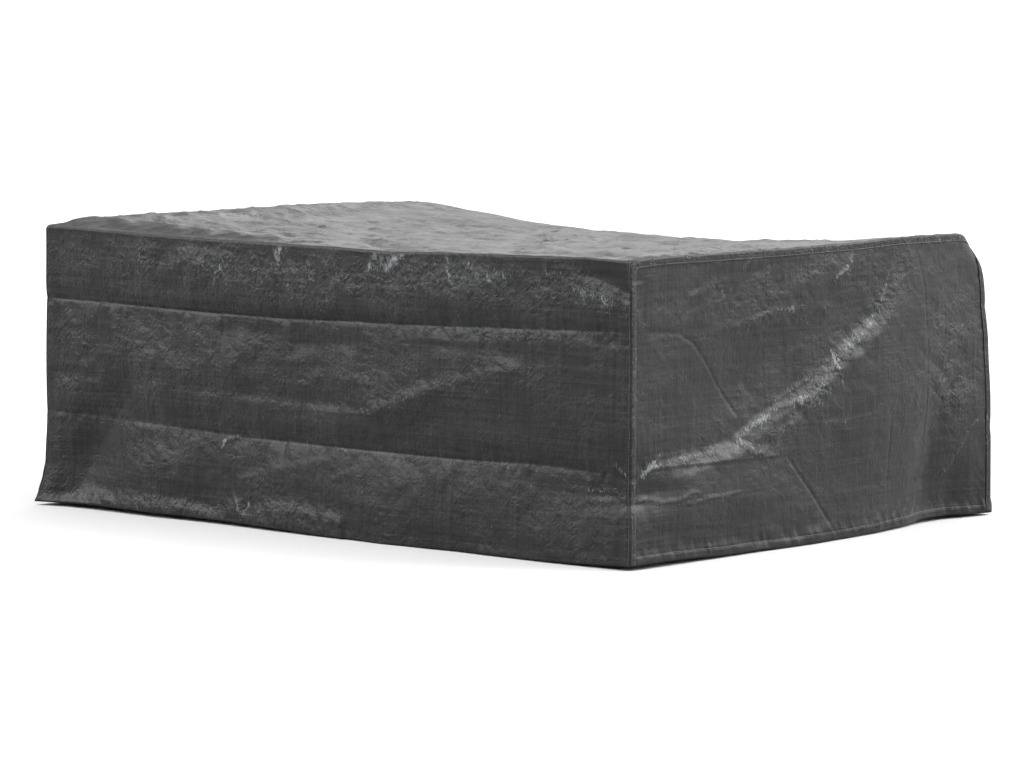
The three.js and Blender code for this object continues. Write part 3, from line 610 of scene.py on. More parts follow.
# width, height, painted highlight, line of (across, up)
SOFT_FOLDS["front"] = [
    (6, 2.6, 0.5, [(-716, 775), (-712, 700), (-706, 628)]),
    (7, 3.0, 0.45, [(-376, 792), (-398, 700), (-432, 630)]),
    (5, 2.4, 0.4, [(-440, 796), (-462, 730), (-474, 690)]),
    (7, 4.2, 0.7, [(-158, 800), (-176, 766), (-168, 732)]),
    (7, 4.0, 0.9, [(200, 796), (176, 766), (162, 730)]),
    (8, 5.0, 1.0, [(300, 800), (258, 772), (226, 734)]),
    (5, 2.6, 0.8, [(452, 796), (468, 745), (478, 690)]),
    (6, 2.0, 0.4, [(500, 772), (610, 742), (720, 738)]),
    (5, 1.8, 0.4, [(560, 735), (640, 716), (700, 690)]),
    (5, 2.0, 0.5, [(806, 800), (812, 740), (818, 690)]),
    (8, 1.6, 0.6, [(835, 790), (860, 742), (925, 708), (1000, 694), (1085, 680)]),
    (5, 2.0, 0.4, [(860, 700), (950, 668), (1040, 656)]),
    (4, 2.0, 1.0, [(-385, 234), (-392, 214), (-400, 196)]),
    (5, 2.4, 0.5, [(-420, 196), (-392, 222), (-350, 238), (-300, 247)]),
    (7, 0.6, 0.55, [(-670, 252), (-500, 246), (-320, 238), (0, 235), (460, 234), (900, 240)]),
    (5, 3.0, 1.0, [(-280, 62), (-296, 30), (-308, 2)]),
    (5, 3.0, 1.0, [(-346, 84), (-322, 52), (-316, 26)]),
    (4, 2.0, 0.7, [(-232, 52), (-244, 28), (-252, 4)]),
    (5, 2.0, 0.5, [(-700, 46), (-716, 22), (-730, 2)]),
    (4, 2.2, 0.5, [(-110, 262), (-104, 330), (-112, 372)]),
    (5, 1.6, 0.4, [(112, 596), (116, 584), (114, 570)]),
    (4, 2.4, 0.7, [(840, 198), (960, 193), (1051, 196), (1092, 170)]),
    (4, 2.0, 0.4, [(930, 222), (1010, 206), (1060, 196)]),
    (4, 2.4, 0.6, [(930, 150), (955, 168), (1088, 166)]),
    (4, 2.6, 0.9, [(1040, 268), (1076, 248), (1098, 226)]),
    (6, 2.2, 0.4, [(1040, 110), (1070, 132), (1092, 150)]),
    (10, 1.6, 0.3, [(-690, 236), (-640, 180), (-600, 120)]),
    (16, -3.0, 0, [(-770, 590), (-730, 560), (-700, 520)]),
    (24, -3.0, 0, [(-470, 540), (-330, 545), (-180, 530)]),
    (22, -3.4, 0, [(-160, 500), (-60, 520), (60, 530), (160, 540)]),
    (12, 2.4, 0.25, [(-980, 420), (-900, 400), (-840, 380)]),
    (6, 1.6, 0.5, [(30, 150), (90, 168), (150, 190)]),
    (9, 0.4, 0.4, [(-60, 362), (60, 354), (200, 352), (290, 384), (420, 434), (600, 476), (700, 500)]),
]
# slope on the left, slope on the right, height, painted highlight, line
SHARP_FOLDS["front"] = [
    (70, 8, -4, 0.1, [(-1096, 372), (-700, 366), (-300, 358), (-50, 352), (200, 350)]),
    (30, 110, 6, 0.1, [(150, 345), (205, 352), (290, 382), (420, 430), (600, 472), (760, 512)]),
    (22, 70, 4, 0.1, [(-60, 398), (-20, 436), (70, 432), (190, 426)]),
    (110, 90, 6, 0.25, [(-150, 634), (-60, 650), (30, 686), (100, 728)]),
    (26, 90, 3, 0.1, [(-350, 110), (-250, 142), (-120, 172), (80, 216)]),
    (60, 14, 2.5, 0, [(320, 560), (520, 556), (760, 566)]),
    (9, 4, -2.6, 0.1, [(1050, 642), (1047, 400), (1050, 120)]),
    (6, 5, -3, 0, [(1072, 806), (1084, 775), (1098, 750)]),
    (300, 130, -10, 0, [(-700, 400), (-800, 300), (-900, 180), (-1030, -60)]),
    (400, 60, -6, 0, [(-1030, 840), (-1030, 740), (-1045, 600)]),
]
print("front folds:", len(SOFT_FOLDS["front"]), "soft and", len(SHARP_FOLDS["front"]), "sharp")

# %% Folds of the back wall
SOFT_FOLDS["back"] = [
    (10, 4.0, 0.4, [(-620, 780), (-600, 720), (-640, 650)]),
    (9, 4.0, 0.6, [(310, 785), (330, 740), (290, 690)]),
    (6, 3.0, 0.5, [(-120, 790), (-140, 740), (-132, 690)]),
    (18, 4.0, 0.3, [(-200, 350), (40, 390), (260, 440)]),
    (6, 2.8, 0.5, [(460, 70), (440, 30), (436, 2)]),
    (6, 2.8, 0.5, [(-300, 70), (-320, 30), (-330, 2)]),
    (14, 3.6, 0.3, [(880, 720), (800, 660), (760, 610)]),
    (16, -4.0, 0, [(-760, 420), (-640, 470), (-480, 480)]),
]
SHARP_FOLDS["back"] = [
    (40, 90, 6, 0.2, [(-700, 330), (-420, 360), (-100, 420), (200, 470)]),
    (80, 30, -8, 0, [(-900, 780), (-960, 740), (-1080, 720)]),
]
print("back folds:", len(SOFT_FOLDS["back"]), "soft and", len(SHARP_FOLDS["back"]), "sharp")

# %% Folds of the right end
SOFT_FOLDS["right"] = [
    (16, 2.2, 0.32, [(-480, 592), (-350, 602), (-250, 618), (-180, 632), (-50, 634), (60, 646)]),
    (6, 1.2, 0.5, [(-300, 610), (-240, 628), (-170, 636), (-60, 632)]),
    (6, 4.4, 0.9, [(58, 698), (124, 728), (152, 765), (172, 815)]),
    (4, 2.4, 0.5, [(128, 708), (140, 730), (152, 756)]),
    (4, 2.4, 0.5, [(-342, 736), (-310, 768), (-272, 806)]),
    (4, 2.4, 0.5, [(-232, 704), (-222, 732), (-210, 766)]),
    (4, 2.0, 0.4, [(-300, 742), (-262, 800)]),
    (4, 2.0, 0.35, [(-150, 716), (-130, 790)]),
    (14, 1.4, 0.32, [(-650, 634), (-600, 662), (-540, 692), (-440, 718), (-350, 724)]),
    (12, 1.0, 0.26, [(-640, 600), (-560, 640), (-480, 664), (-380, 672)]),
    (3, 1.2, 1.0, [(48, 524), (70, 458), (92, 392)]),
    (7, 1.2, 0.42, [(-786, 182), (-720, 168), (-680, 158), (-610, 160), (-560, 176), (-510, 168)]),
    (6, 0.8, 0.34, [(-640, 150), (-560, 146), (-470, 160), (-390, 158)]),
    (4, 1.0, 0.3, [(-520, 152), (-430, 158), (-340, 164)]),
    (4, 1.0, 0.35, [(-80, 322), (80, 314), (260, 330)]),
    (4, -1.4, 0, [(440, 806), (478, 650), (492, 400), (492, 80)]),
    (4, -1.2, 0, [(306, 340), (302, 90)]),
    (4, 2.0, 0.6, [(560, 80), (615, 145), (700, 242), (792, 302)]),
    (5, 2.2, 0.4, [(330, 18), (372, 78)]),
    (5, 2.6, 0.5, [(380, 14), (432, 78)]),
    (5, 2.2, 0.4, [(440, 12), (486, 66)]),
    (6, 1.6, 0.7, [(-788, 214), (-748, 236), (-700, 268), (-650, 296)]),
    (9, 1.0, 0.6, [(-786, 228), (-713, 256), (-534, 268), (-400, 280)]),
    (4, 2.0, 0.6, [(-788, 160), (-760, 168), (-735, 172)]),
    (10, 2.4, 0.6, [(-360, 300), (-300, 262), (-240, 252)]),
    (10, 1.6, 0.75, [(-390, 262), (-350, 305), (-260, 340), (-200, 352)]),
    (9, 1.6, 0.8, [(-330, 325), (-240, 348), (-190, 372), (-120, 380), (-40, 410)]),
    (8, 1.4, 0.75, [(-240, 384), (-170, 396), (-110, 420), (-40, 446), (10, 440)]),
    (8, 1.4, 0.8, [(-120, 382), (-50, 392), (0, 420), (20, 452), (70, 470)]),
    (12, 1.2, 0.45, [(-240, 300), (-160, 318), (-80, 350), (-10, 386), (60, 420)]),
    (9, 1.2, 0.6, [(50, 486), (110, 512), (160, 530), (210, 556), (262, 600)]),
    (7, 1.0, 0.6, [(60, 508), (130, 536), (200, 572), (250, 596)]),
    (6, 2.0, 0.9, [(255, 596), (290, 648), (316, 700), (348, 728)]),
    (12, 1.0, 0.35, [(110, 470), (200, 500), (280, 560), (330, 620)]),
    (5, 1.0, 0.35, [(735, 620), (728, 430), (722, 300)]),
    (20, -4.0, 0, [(470, 470), (560, 430), (640, 340)]),
    (16, -3.0, 0, [(520, 300), (600, 330), (660, 420)]),
]
SHARP_FOLDS["right"] = [
    (36, 6, 2.6, 0.2, [(-806, 250), (-560, 249), (-370, 247), (-158, 243)]),
    (8, 10, -1.9, 0.15, [(-760, 612), (-600, 598), (-540, 570), (-480, 512), (-330, 345)]),
    (10, 8, -2.2, 0.15, [(-160, 245), (-60, 142), (62, 2)]),
    (26, 18, -3, 0, [(-806, 236), (-776, 242), (-740, 262)]),
]
print("right folds:", len(SOFT_FOLDS["right"]), "soft and", len(SHARP_FOLDS["right"]), "sharp")

# %% Folds of the left end
SOFT_FOLDS["left"] = [
    (12, 4.6, 0.4, [(-180, 780), (-130, 700), (40, 650), (260, 620)]),
    (18, 5.0, 0.5, [(690, 250), (420, 300), (180, 390), (-40, 470)]),
    (8, 3.5, 0.4, [(-560, 300), (-540, 200), (-530, 110)]),
    (6, 3.0, 0.5, [(-330, 790), (-360, 740), (-420, 690)]),
]
SHARP_FOLDS["left"] = [
    (10, 8, -1.8, 0.15, [(760, 612), (600, 598), (330, 345)]),
    (8, 90, 5, 0.3, [(800, 250), (560, 249), (150, 243)]),
]
print("left folds:", len(SOFT_FOLDS["left"]), "soft and", len(SHARP_FOLDS["left"]), "sharp")

# %% Folds of the top
SOFT_FOLDS["top"] = [
    (9, 3.4, 0.1, [(-1078, -794), (-1040, -740), (-990, -700)]),
    (8, 2.8, 0.1, [(-1030, -796), (-985, -742), (-930, -704)]),
    (11, 3.8, 0.1, [(-960, -796), (-900, -738), (-860, -690)]),
    (8, 2.6, 0.1, [(-905, -796), (-860, -750), (-800, -708)]),
    (9, 3.4, 0.1, [(-838, -796), (-780, -744), (-740, -700)]),
    (12, 3.8, 0.1, [(-750, -796), (-700, -742), (-640, -704)]),
    (8, 2.6, 0.1, [(-660, -796), (-612, -748), (-570, -712)]),
    (10, 3.4, 0.1, [(-596, -796), (-540, -748), (-500, -706)]),
    (9, 2.8, 0.1, [(-500, -796), (-440, -752), (-380, -716)]),
    (9, 3.2, 0.1, [(-400, -796), (-350, -756), (-270, -726)]),
    (13, 3.6, 0.1, [(1078, -770), (1066, -520), (1056, -120)]),
    (20, 5.5, 0.1, [(1066, -776), (1010, -520), (972, -150)]),
    (24, 6.0, 0.1, [(1048, -782), (940, -560), (870, -240)]),
    (24, 6.0, 0.1, [(1026, -786), (880, -640), (760, -400)]),
    (20, 5.0, 0.1, [(990, -790), (830, -715), (640, -590)]),
    (20, 4.5, 0.1, [(1044, -200), (1014, 60), (1000, 400)]),
    (24, 5.5, 0.1, [(950, -60), (920, 160), (905, 460)]),
    (26, 6.0, 0.1, [(838, -230), (792, -20), (770, 220)]),
    (28, 6.0, 0.1, [(720, -420), (640, -240), (590, 20)]),
    (26, 5.5, 0.1, [(610, -560), (500, -430), (410, -210)]),
    (26, 5.5, 0.1, [(500, -660), (360, -560), (240, -400)]),
    (170, -17, 0, [(1000, -240), (950, 60), (920, 340), (900, 620), (900, 1000)]),
    (80, -9, 0, [(1060, -60), (1040, 300), (1030, 620), (1030, 1000)]),
    (7, 2.5, 0.5, [(-170, -800), (-150, -760), (-60, -700)]),
    (12, 3.0, 0.2, [(-300, 120), (40, 60), (420, 90)]),
    (10, 3.0, 0.2, [(-820, 300), (-500, 240), (-260, 270)]),
    (11, -3.0, 0, [(-200, -300), (150, -340), (520, -300)]),
    (10, 3.0, 0.2, [(300, 420), (560, 380), (800, 430)]),
    (16, -4.0, 0, [(300, -80), (560, -170), (820, -200)]),
    (14, 3.0, 0.2, [(-700, 0), (-420, -60), (-100, -40)]),
]
SHARP_FOLDS["top"] = [
    (75, 30, -9, 0, [(-210, -450), (-110, -515), (80, -655), (280, -775)]),
]
print("top folds:", len(SOFT_FOLDS["top"]), "soft and", len(SHARP_FOLDS["top"]), "sharp")

# %% [markdown]
# ## The tucked-in corner
# Near the corner a flap of the front wall is tucked in under the top edge, so a dark pocket
# with a clear outline shows there. It is no ridge and no valley: inside its outline the cloth
# leans in, more the lower it lies, and comes back out within a finger's breadth.

# %% Pocket and fold functions
POCKET = [(912, 818), (918, 775), (940, 748), (1000, 728), (1060, 708), (1110, 694)]
POCKET_SLOPE, POCKET_EDGE = 0.2, 11.0


def pocket(across, up):
    away, side, _, _ = nearest_on_line(POCKET, across, up)
    inside = smooth(0.5 - side * away / POCKET_EDGE)
    return -POCKET_SLOPE * np.maximum(0, HEIGHT - up) * inside


def faded_ends(reached, total, tail):
    """One along a line, and nearly nothing at both its ends."""
    return smooth(reached / (tail * total) + 0.1) * smooth((total - reached) / (tail * total) + 0.1)


def small_folds(wall, across, up):
    """How far the small folds stand out, and how much highlight is painted along them."""
    relief, paleness_and_glint = np.zeros_like(across), np.zeros_like(across)
    soft = [(width, width, *rest) for width, *rest in SOFT_FOLDS[wall]]
    for k, (left, right, height, wear_and_glint, line) in enumerate(soft + SHARP_FOLDS[wall]):
        reach = 3 * max(left, right, 5)
        lows, highs = np.min(line, axis=0) - reach, np.max(line, axis=0) + reach
        near = (across > lows[0]) & (across < highs[0]) & (up > lows[1]) & (up < highs[1])
        away, side, reached, total = nearest_on_line(line, across[near], up[near])
        share = away / np.where(side < 0, left, right)
        if k < len(soft):
            relief[near] += height * np.exp(-share * share) * faded_ends(reached, total, 0.25)
        else:
            relief[near] += height * np.maximum(0, 1 - share) ** 1.3 * faded_ends(reached, total, 0.12)
        paleness_and_glint[near] += wear_and_glint * fade(away, 1.2 * min(left, right) + 3) * faded_ends(reached, total, 0.2)
    return relief, paleness_and_glint


print("small folds:", sum(len(folds) for table in (SOFT_FOLDS, SHARP_FOLDS) for folds in table.values()))

# %% [markdown]
# ## Laying cloth on the hung box
# A place on a flat piece of cloth is u along and v up from the hem. For each such place a
# function finds the point of the plain box, hangs it, and lifts it by the crumples and folds.
# The meshes and the stitches use the same functions, so the thread always lies on its cloth.
# The flat place is also kept as the UV map, so the weave follows the cloth round every bend.

# %% The long panel's place
FRONT_TOP = HEIGHT - EDGE_ROUND
BEND = math.pi / 2 * EDGE_ROUND
OVER_TOP = DEPTH - 2 * EDGE_ROUND
LONG_CUT = 2 * FRONT_TOP + 2 * BEND + OVER_TOP
FRONT_STITCH, LAP_STITCH, HEM_STITCH = 6.0, 18.0, 23.0
GATHERED_OVER = 60.0  # how far beside the bend the lap is gathered


def long_place(v, inset=0.0):
    """Where the flat long panel lies on the plain box at v: its y, z and facing."""
    side = np.where(v < LONG_CUT / 2, -1.0, 1.0)
    up = np.abs(np.minimum(v, LONG_CUT - v))
    turn = np.clip((up - FRONT_TOP) / EDGE_ROUND, 0, math.pi / 2)
    over = np.maximum(0, up - FRONT_TOP - BEND)
    radius = max(EDGE_ROUND - inset, 1.0)
    gathered = inset + radius - EDGE_ROUND
    beside_top = gathered * np.clip(1 - over / GATHERED_OVER, 0, 1)
    beside_wall = gathered * np.clip(1 - (FRONT_TOP - up) / GATHERED_OVER, 0, 1)
    y = side * (HALF_DEPTH - EDGE_ROUND - beside_top + radius * np.cos(turn) - over)
    z = np.minimum(up, FRONT_TOP) - beside_wall + radius * np.sin(turn)
    return y, z, np.stack([0 * y, side * np.cos(turn), np.sin(turn)], axis=-1)


print("long panel from hem to hem", round(LONG_CUT), "mm")

# %% [markdown]
# ## What sewing does to cloth
# A hem is turned up inside, so the cloth there is double and stands a little proud. A row of
# stitches presses a furrow into the cloth and gathers it into short pulls. Modelling each
# stitch's pull by hand would take days, so soft random hills, slanted and fading away from the
# row, stand for them.

# %% Hem, furrow and pulls
FURROW_DEPTH, FURROW_WIDTH = 1.3, 1.7
HEM_PROUD, HEM_PULLS = 0.9, 1.5
PULL_REACH = 20.0  # beside a row of stitches
FLARE_EASE = 34.0  # over which the flare above the hem dies out


def turned_hem(v):
    """How far in the cloth lies where it is turned up inside, below v = 0."""
    return np.interp(v, (-26, -4, -1, 0, 2.5), (-2.2, -2.1, -1.5, -0.9, 0))


def groove(distance, depth=FURROW_DEPTH):
    """The furrow that a row of stitches presses into the cloth."""
    return -depth * np.exp(-((distance / FURROW_WIDTH) ** 2))


def pull(along_row, away, seed):
    """The short pulls that stitches or a sharp crease leave in the cloth beside them."""
    small = hills((along_row + 0.35 * away) / 13, away / 60, seed)
    return (small + 0.8 * hills((along_row - 0.2 * away) / 31, away / 90, seed + 1)) * fade(away, PULL_REACH)


# how high the flare above the front hem reaches
FRONT_FLARE = rows("at high", (-1100, 18), (-1000, 30), (-950, 56), (-700, 55), (-450, 50), (-405, 28),
                   (-345, 74), (-318, 80), (-296, 40), (-235, 66), (-180, 86), (0, 80), (82, 72),
                   (110, -40), (1100, -40))


def hem_lift(u, v, seed, border, flared):
    """The double cloth of the hem, its furrow and its puckers, and the flare above it."""
    flare = flared * smooth((border + 4 * hills(u / 33, v * 0, seed + 5) - v) / FLARE_EASE)
    proud = HEM_PROUD * smooth((HEM_TURN + 1 - v) / 3)
    return flare + proud + groove(v - HEM_STITCH) + HEM_PULLS * pull(u, v - HEM_TURN, seed)


def wavy_border(u, seed):
    """How high the flare reaches above the other hems."""
    return 46 + 20 * hills(u / 130, u * 0, seed)


print("a furrow is", FURROW_DEPTH, "mm deep, and a pull reaches", PULL_REACH, "mm")

# %% [markdown]
# ## What lifts the long panel
# The crumples, folds, pocket, wrinkles, puckers and hem all push the cloth in or out along the
# way it faces. They could be sculpted one over another, but adding them up as one height keeps
# each of them in its own function, where it can be read and changed. Near a seam or a hard
# bend the cloth is held, so the crumples and folds fade out there.

# %% The long panel's lift
FOLD_EASE, WRINKLE_EASE = 22.0, 50.0  # over which folds and wrinkles grow from an edge
HELD_AT_SEAM, CRUMPLE_EASE = 16.0, 45.0  # no crumples so near a corner, and how they grow
LEAST_CRISP, BEND_HELD = 0.3, 6.0  # crumples on a hard bend, and how far beside it
SEAM_PROUD = 1.3  # the cloth is double between the corner and its stitches
FOLDS_HELD, FOLDS_GROW = 2.0, 16.0  # no folds so near a corner, and how they grow
LONG_FLARE, END_FLARE = 6.5, 2.5  # how far the cloth flares out above the hem
FRONT_PART = 1000.0  # up the cut cloth: past the front wall, and before the back wall


def signed_up(v):
    """The height above the nearer hem, below zero where the hem is turned up."""
    return np.minimum(v, LONG_CUT - v)


def wall_folds(wall, across, height, from_edge):
    """The folds of one part of the long panel, and the puckers along its packing creases."""
    out = small_folds(wall, across, height)[0] * smooth(from_edge / FOLD_EASE)
    if wall == "top":
        out = out + streaks(across, height, 41) * smooth(from_edge / WRINKLE_EASE)
    if wall == "front":
        out = out + pocket(across, height)
    for crease in PACK_CREASES.get(wall, []):
        below = along(crease, "at", across, "z") - height
        out = out + np.where(below > -3, 1.5, 0.5) * pull(across, below - 8, 70)
    return out


def long_lift(u, v):
    """Everything that lifts the long panel off the smooth hung shape."""
    up = np.abs(signed_up(v))
    from_corner = HALF_LENGTH - np.abs(u)
    hold = smooth((from_corner - HELD_AT_SEAM) / CRUMPLE_EASE)
    amount = np.zeros_like(u)
    folds = np.zeros_like(u)
    on_top = up > FRONT_TOP + BEND / 2
    in_front, behind = ~on_top & (v < FRONT_PART), ~on_top & (v > FRONT_PART)
    for wall, there in (("front", in_front), ("top", on_top), ("back", behind)):
        height = (v - LONG_CUT / 2)[there] if wall == "top" else up[there]
        edge = HALF_DEPTH - np.abs(height) if wall == "top" else HEIGHT - height
        amount[there] = over_wall(CRUMPLED, wall, u[there], height)
        folds[there] = wall_folds(wall, u[there], height, edge)
    border = np.where(v < FRONT_PART, along(FRONT_FLARE, "at", u, "high"), wavy_border(u, 7))
    from_bend = np.abs(up - FRONT_TOP - BEND / 2) - BEND_HELD
    crisp = LEAST_CRISP + (1 - LEAST_CRISP) * smooth(from_bend / CRUMPLE_EASE)
    raised = SEAM_PROUD * smooth((FRONT_STITCH + 1 - from_corner) / 4) * smooth(from_corner / 3 + 0.4)
    seam = raised + groove(from_corner - FRONT_STITCH) + pull(v, from_corner - FRONT_STITCH, 9)
    folds = folds * smooth((from_corner - FOLDS_HELD) / FOLDS_GROW)
    relief = crumple(u, v, 3) * amount * crisp * hold + folds
    return relief + seam + hem_lift(u, up, 5, border, LONG_FLARE) + turned_hem(signed_up(v))


# %% How crumpled the cloth is, and how much highlight is painted
def crumple_and_glint(wall, across, up):
    """How crumpled a wall is, and how much highlight is painted into its colour."""
    crumpled = over_wall(CRUMPLED, wall, across, up)
    painted_glint = over_wall(PAINTED_GLINTS, wall, across, up) + small_folds(wall, across, up)[1]
    return np.stack([crumpled, painted_glint], axis=-1)


def long_crumple_and_glint(u, v):
    up = signed_up(v)
    front, back, top = crumple_and_glint("front", u, up), crumple_and_glint("back", u, up), crumple_and_glint("top", u, v - LONG_CUT / 2)
    on_wall = np.where((v < LONG_CUT / 2)[..., None], front, back)
    return np.where((up > FRONT_TOP)[..., None], top, on_wall)


crumple_and_glint_here = crumple_and_glint("front", np.array([-350.0]), np.array([720.0]))[0].round(2)
print("under the front top edge the cloth is", crumple_and_glint_here[0], "crumpled and", crumple_and_glint_here[1], "painted_glint")


# %% The long panel and its laps
def long_cloth(u, v):
    """Points of the long panel and the way it faces there."""
    y, z, normal = long_place(v)
    base = np.stack([u + 0 * y, y, z], axis=-1)
    out = facing(base, np.array([1.0, 0, 0]), normal)
    return hung(base) + out * long_lift(u + 0 * y, v)[..., None], out


def lap_furrow(side, inset, v):
    """Low on the near seam the lap's fold has opened, which leaves a furrow down the lap."""
    middle = 5 + 8 * smooth((145 - v) / 60)
    return -1.5 * fade(inset - middle, 3) * smooth((150 - v) / 20) * smooth((v - 20) / 20) * (side > 0)


def lap_cloth(side, inset, out, v):
    """Points of the lap, which lies on an end wall, so far in from the corner and so far out."""
    y, z, _ = long_place(v, inset)
    base = np.stack([np.full_like(y, side * HALF_LENGTH), y, z], axis=-1)
    face = facing(base, np.array([0, 1.0, 0]), np.array([side, 0, 0.0]))
    double = 0.6 * smooth((HEM_TURN + 1 - np.abs(signed_up(v))) / 3)
    waves = (0.3 + 0.2 * hills(v / 17, v * 0 + inset / 9, 21)) * (out > 1.5) + lap_furrow(side, inset, v)
    lift = np.maximum(out + waves + 0.45 * turned_hem(signed_up(v)), 0.4) + double
    return hung(base) + face * lift[..., None], face


print("the near seam starts at", lap_cloth(1, 0.0, 1.0, np.array([0.0]))[0][0].round(1))


# %% Make a mesh from grids
def cloth_mesh(name, vertices, flat, wear_and_glint, faces):
    """A mesh in metres, with the flat cloth as UVs, and at each vertex how crumpled it is and how much
    highlight is painted there.
    """
    mesh = bpy.data.meshes.new(name)
    mesh.from_pydata((vertices / 1000).tolist(), [], faces)
    own = np.zeros(len(mesh.loops), dtype=np.int32)
    mesh.loops.foreach_get("vertex_index", own)
    mesh.uv_layers.new(name="flat_cloth").data.foreach_set("uv", (flat[own] / 1000).ravel())
    for k, label in enumerate(("crumpled", "painted_glint")):
        values = np.ascontiguousarray(wear_and_glint[:, k])
        mesh.attributes.new(label, "FLOAT", "POINT").data.foreach_set("value", values)
    mesh.polygons.foreach_set("use_smooth", np.ones(len(faces), bool))
    piece = bpy.data.objects.new(name, mesh)
    bpy.context.scene.collection.objects.link(piece)
    print(name, sum(len(face) - 2 for face in faces), "triangles")
    return piece


def grid_faces(count, across, first=0):
    corner = (first + np.arange(count - 1)[:, None] * across + np.arange(across - 1)[None, :]).ravel()
    return np.stack([corner, corner + 1, corner + across + 1, corner + across], axis=1).tolist()


def spread(first, last, cells, gather=0.0):
    """Places from first to last, closer together at both ends where gather is above zero."""
    t = np.linspace(0, 1, cells + 1)
    return first + (last - first) * (t - gather * np.sin(2 * np.pi * t) / (2 * np.pi))


print("eight cells gathered to the ends", spread(0, 100, 8, 0.6).round())


# %% [markdown]
# ## The long panel
# Its rows are packed closer beside the creases, where the cloth turns sharply, and its columns
# closer beside the seams, where it folds round the corner, lies as a lap on the end panel and
# turns its cut edge under. The front wall has twice the columns of the rest, because it shows
# the finest folds. At the bottom the hem is turned inside, so the edge is double and looks as
# thick as a real hem.

# %% Rows and columns
HEM_ROWS = [-25, -16, -7, -2.5, -0.8]
FINE_COLUMNS = 340  # between the seams
SEAM_ZONE = 30.0  # beside a corner, where the columns are set by hand
SEAM_COLUMNS = [26, 21, 16, 12, 9.5, 8, 7, 6, 5, 3.6, 2, 0.6]  # distances from the corner
# the lap's own section: how far in from the corner, and how far out from the end wall
LAP_SECTION = [(0.3, 0.9), (1.0, 1.9), (2.6, 2.5), (5, 2.7), (8, 2.7), (11, 2.6), (14, 2.6), (16.4, 2.3),
               (18, 1.7), (19.6, 2.2), (21.4, 2.1), (22, 1.3), (22, 0.5)]
LAP_CRUMPLED = 0.5
# cells up each part of a long wall: below, between and above its creases
FRONT_CELLS, BACK_CELLS, TOP_CELLS = (34, 50, 28), (17, 26, 15), 142


def wall_rows(wall, u, cells):
    """The rows of a long wall, from the turned hem to the top of the bend, along its creases."""
    high, low = [along(crease, "at", u, "z") for crease in PACK_CREASES[wall]]
    parts = [
        np.array(HEM_ROWS)[:, None] + 0 * u,
        spread(0, 1, cells[0], 0.35)[:-1, None] * low,
        low + spread(0, 1, cells[1], 0.6)[:-1, None] * (high - low),
        high + spread(0, 1, cells[2], 0.5)[:-1, None] * (FRONT_TOP - high),
        FRONT_TOP + spread(0, BEND, 5)[:, None] + 0 * u,
    ]
    return np.concatenate(parts)


print("rows of the front wall:", len(wall_rows("front", np.zeros(1), FRONT_CELLS)))


def long_grid(u, v):
    """Points, flat places and wear of one part of the long panel, with both laps."""
    points, _ = long_cloth(np.broadcast_to(u, v.shape), v)
    flats = np.stack([np.broadcast_to(u, v.shape), v], axis=-1)
    wear_and_glint = long_crumple_and_glint(flats[..., 0], v)
    for side, column in ((-1, 0), (1, -1)):
        edge = v[:, column]
        for inset, out in LAP_SECTION:
            lap, _ = lap_cloth(side, inset, out, edge)
            flat = np.stack([np.full_like(edge, side * (HALF_LENGTH + inset)), edge], axis=-1)
            # the lap's painted highlight, a little uneven along it
            painted_glint = 0.45 + 0.2 * hills(edge / 23, edge * 0, 8)
            lap_crumple_and_glint = np.stack([np.full_like(edge, LAP_CRUMPLED), painted_glint], axis=-1)
            order = slice(None, None, side)
            points = np.concatenate([points, lap[:, None]][order], axis=1)
            flats = np.concatenate([flats, flat[:, None]][order], axis=1)
            wear_and_glint = np.concatenate([wear_and_glint, lap_crumple_and_glint[:, None]][order], axis=1)
    return points, flats, wear_and_glint


# %% Sew the long panel's grids together
def make_long_panel():
    inner = HALF_LENGTH - SEAM_ZONE
    side = HALF_LENGTH - np.array(SEAM_COLUMNS)
    fine = np.concatenate([-side[::-1], spread(-inner, inner, FINE_COLUMNS), side])
    count = len(SEAM_COLUMNS)
    middle = np.arange(count, count + FINE_COLUMNS + 1, 2)
    kept = np.concatenate([np.arange(count), middle, np.arange(len(fine) - count, len(fine))])
    coarse = fine[kept]
    front_v = wall_rows("front", fine, FRONT_CELLS)
    top_v = LONG_CUT / 2 + spread(-OVER_TOP / 2, OVER_TOP / 2, TOP_CELLS)[1:-1, None] + 0 * coarse
    back_v = LONG_CUT - wall_rows("back", coarse, BACK_CELLS)[::-1]
    front = long_grid(fine, front_v)
    rest = long_grid(coarse, np.concatenate([top_v, back_v]))
    laps = len(LAP_SECTION)
    border = np.concatenate([np.arange(laps), laps + kept, len(fine) + laps + np.arange(laps)])
    last = (front[0].shape[0] - 1) * front[0].shape[1]
    first = front[0].shape[0] * front[0].shape[1]
    faces = grid_faces(*front[0].shape[:2]) + grid_faces(*rest[0].shape[:2], first)
    for k in range(len(border) - 1):
        lower = [last + i for i in range(border[k], border[k + 1] + 1)]
        faces.append(lower + [first + k + 1, first + k])
    joined = [np.concatenate([a.reshape(-1, *a.shape[2:]), b.reshape(-1, *b.shape[2:])])
              for a, b in zip(front, rest)]
    return cloth_mesh("long_panel_cloth", *joined, faces)


long_panel = make_long_panel()

# %% [markdown]
# ## The end panels
# Each is a flat piece of cloth with rounded top corners. Its edges lie hidden inside the fold
# of the long panel, so it only has to reach a little under the lap, and its hem is turned in
# the same way. The right one is finer, because its long diagonal fold is full of small creases.

# %% End panels
END_INSET = 3.0


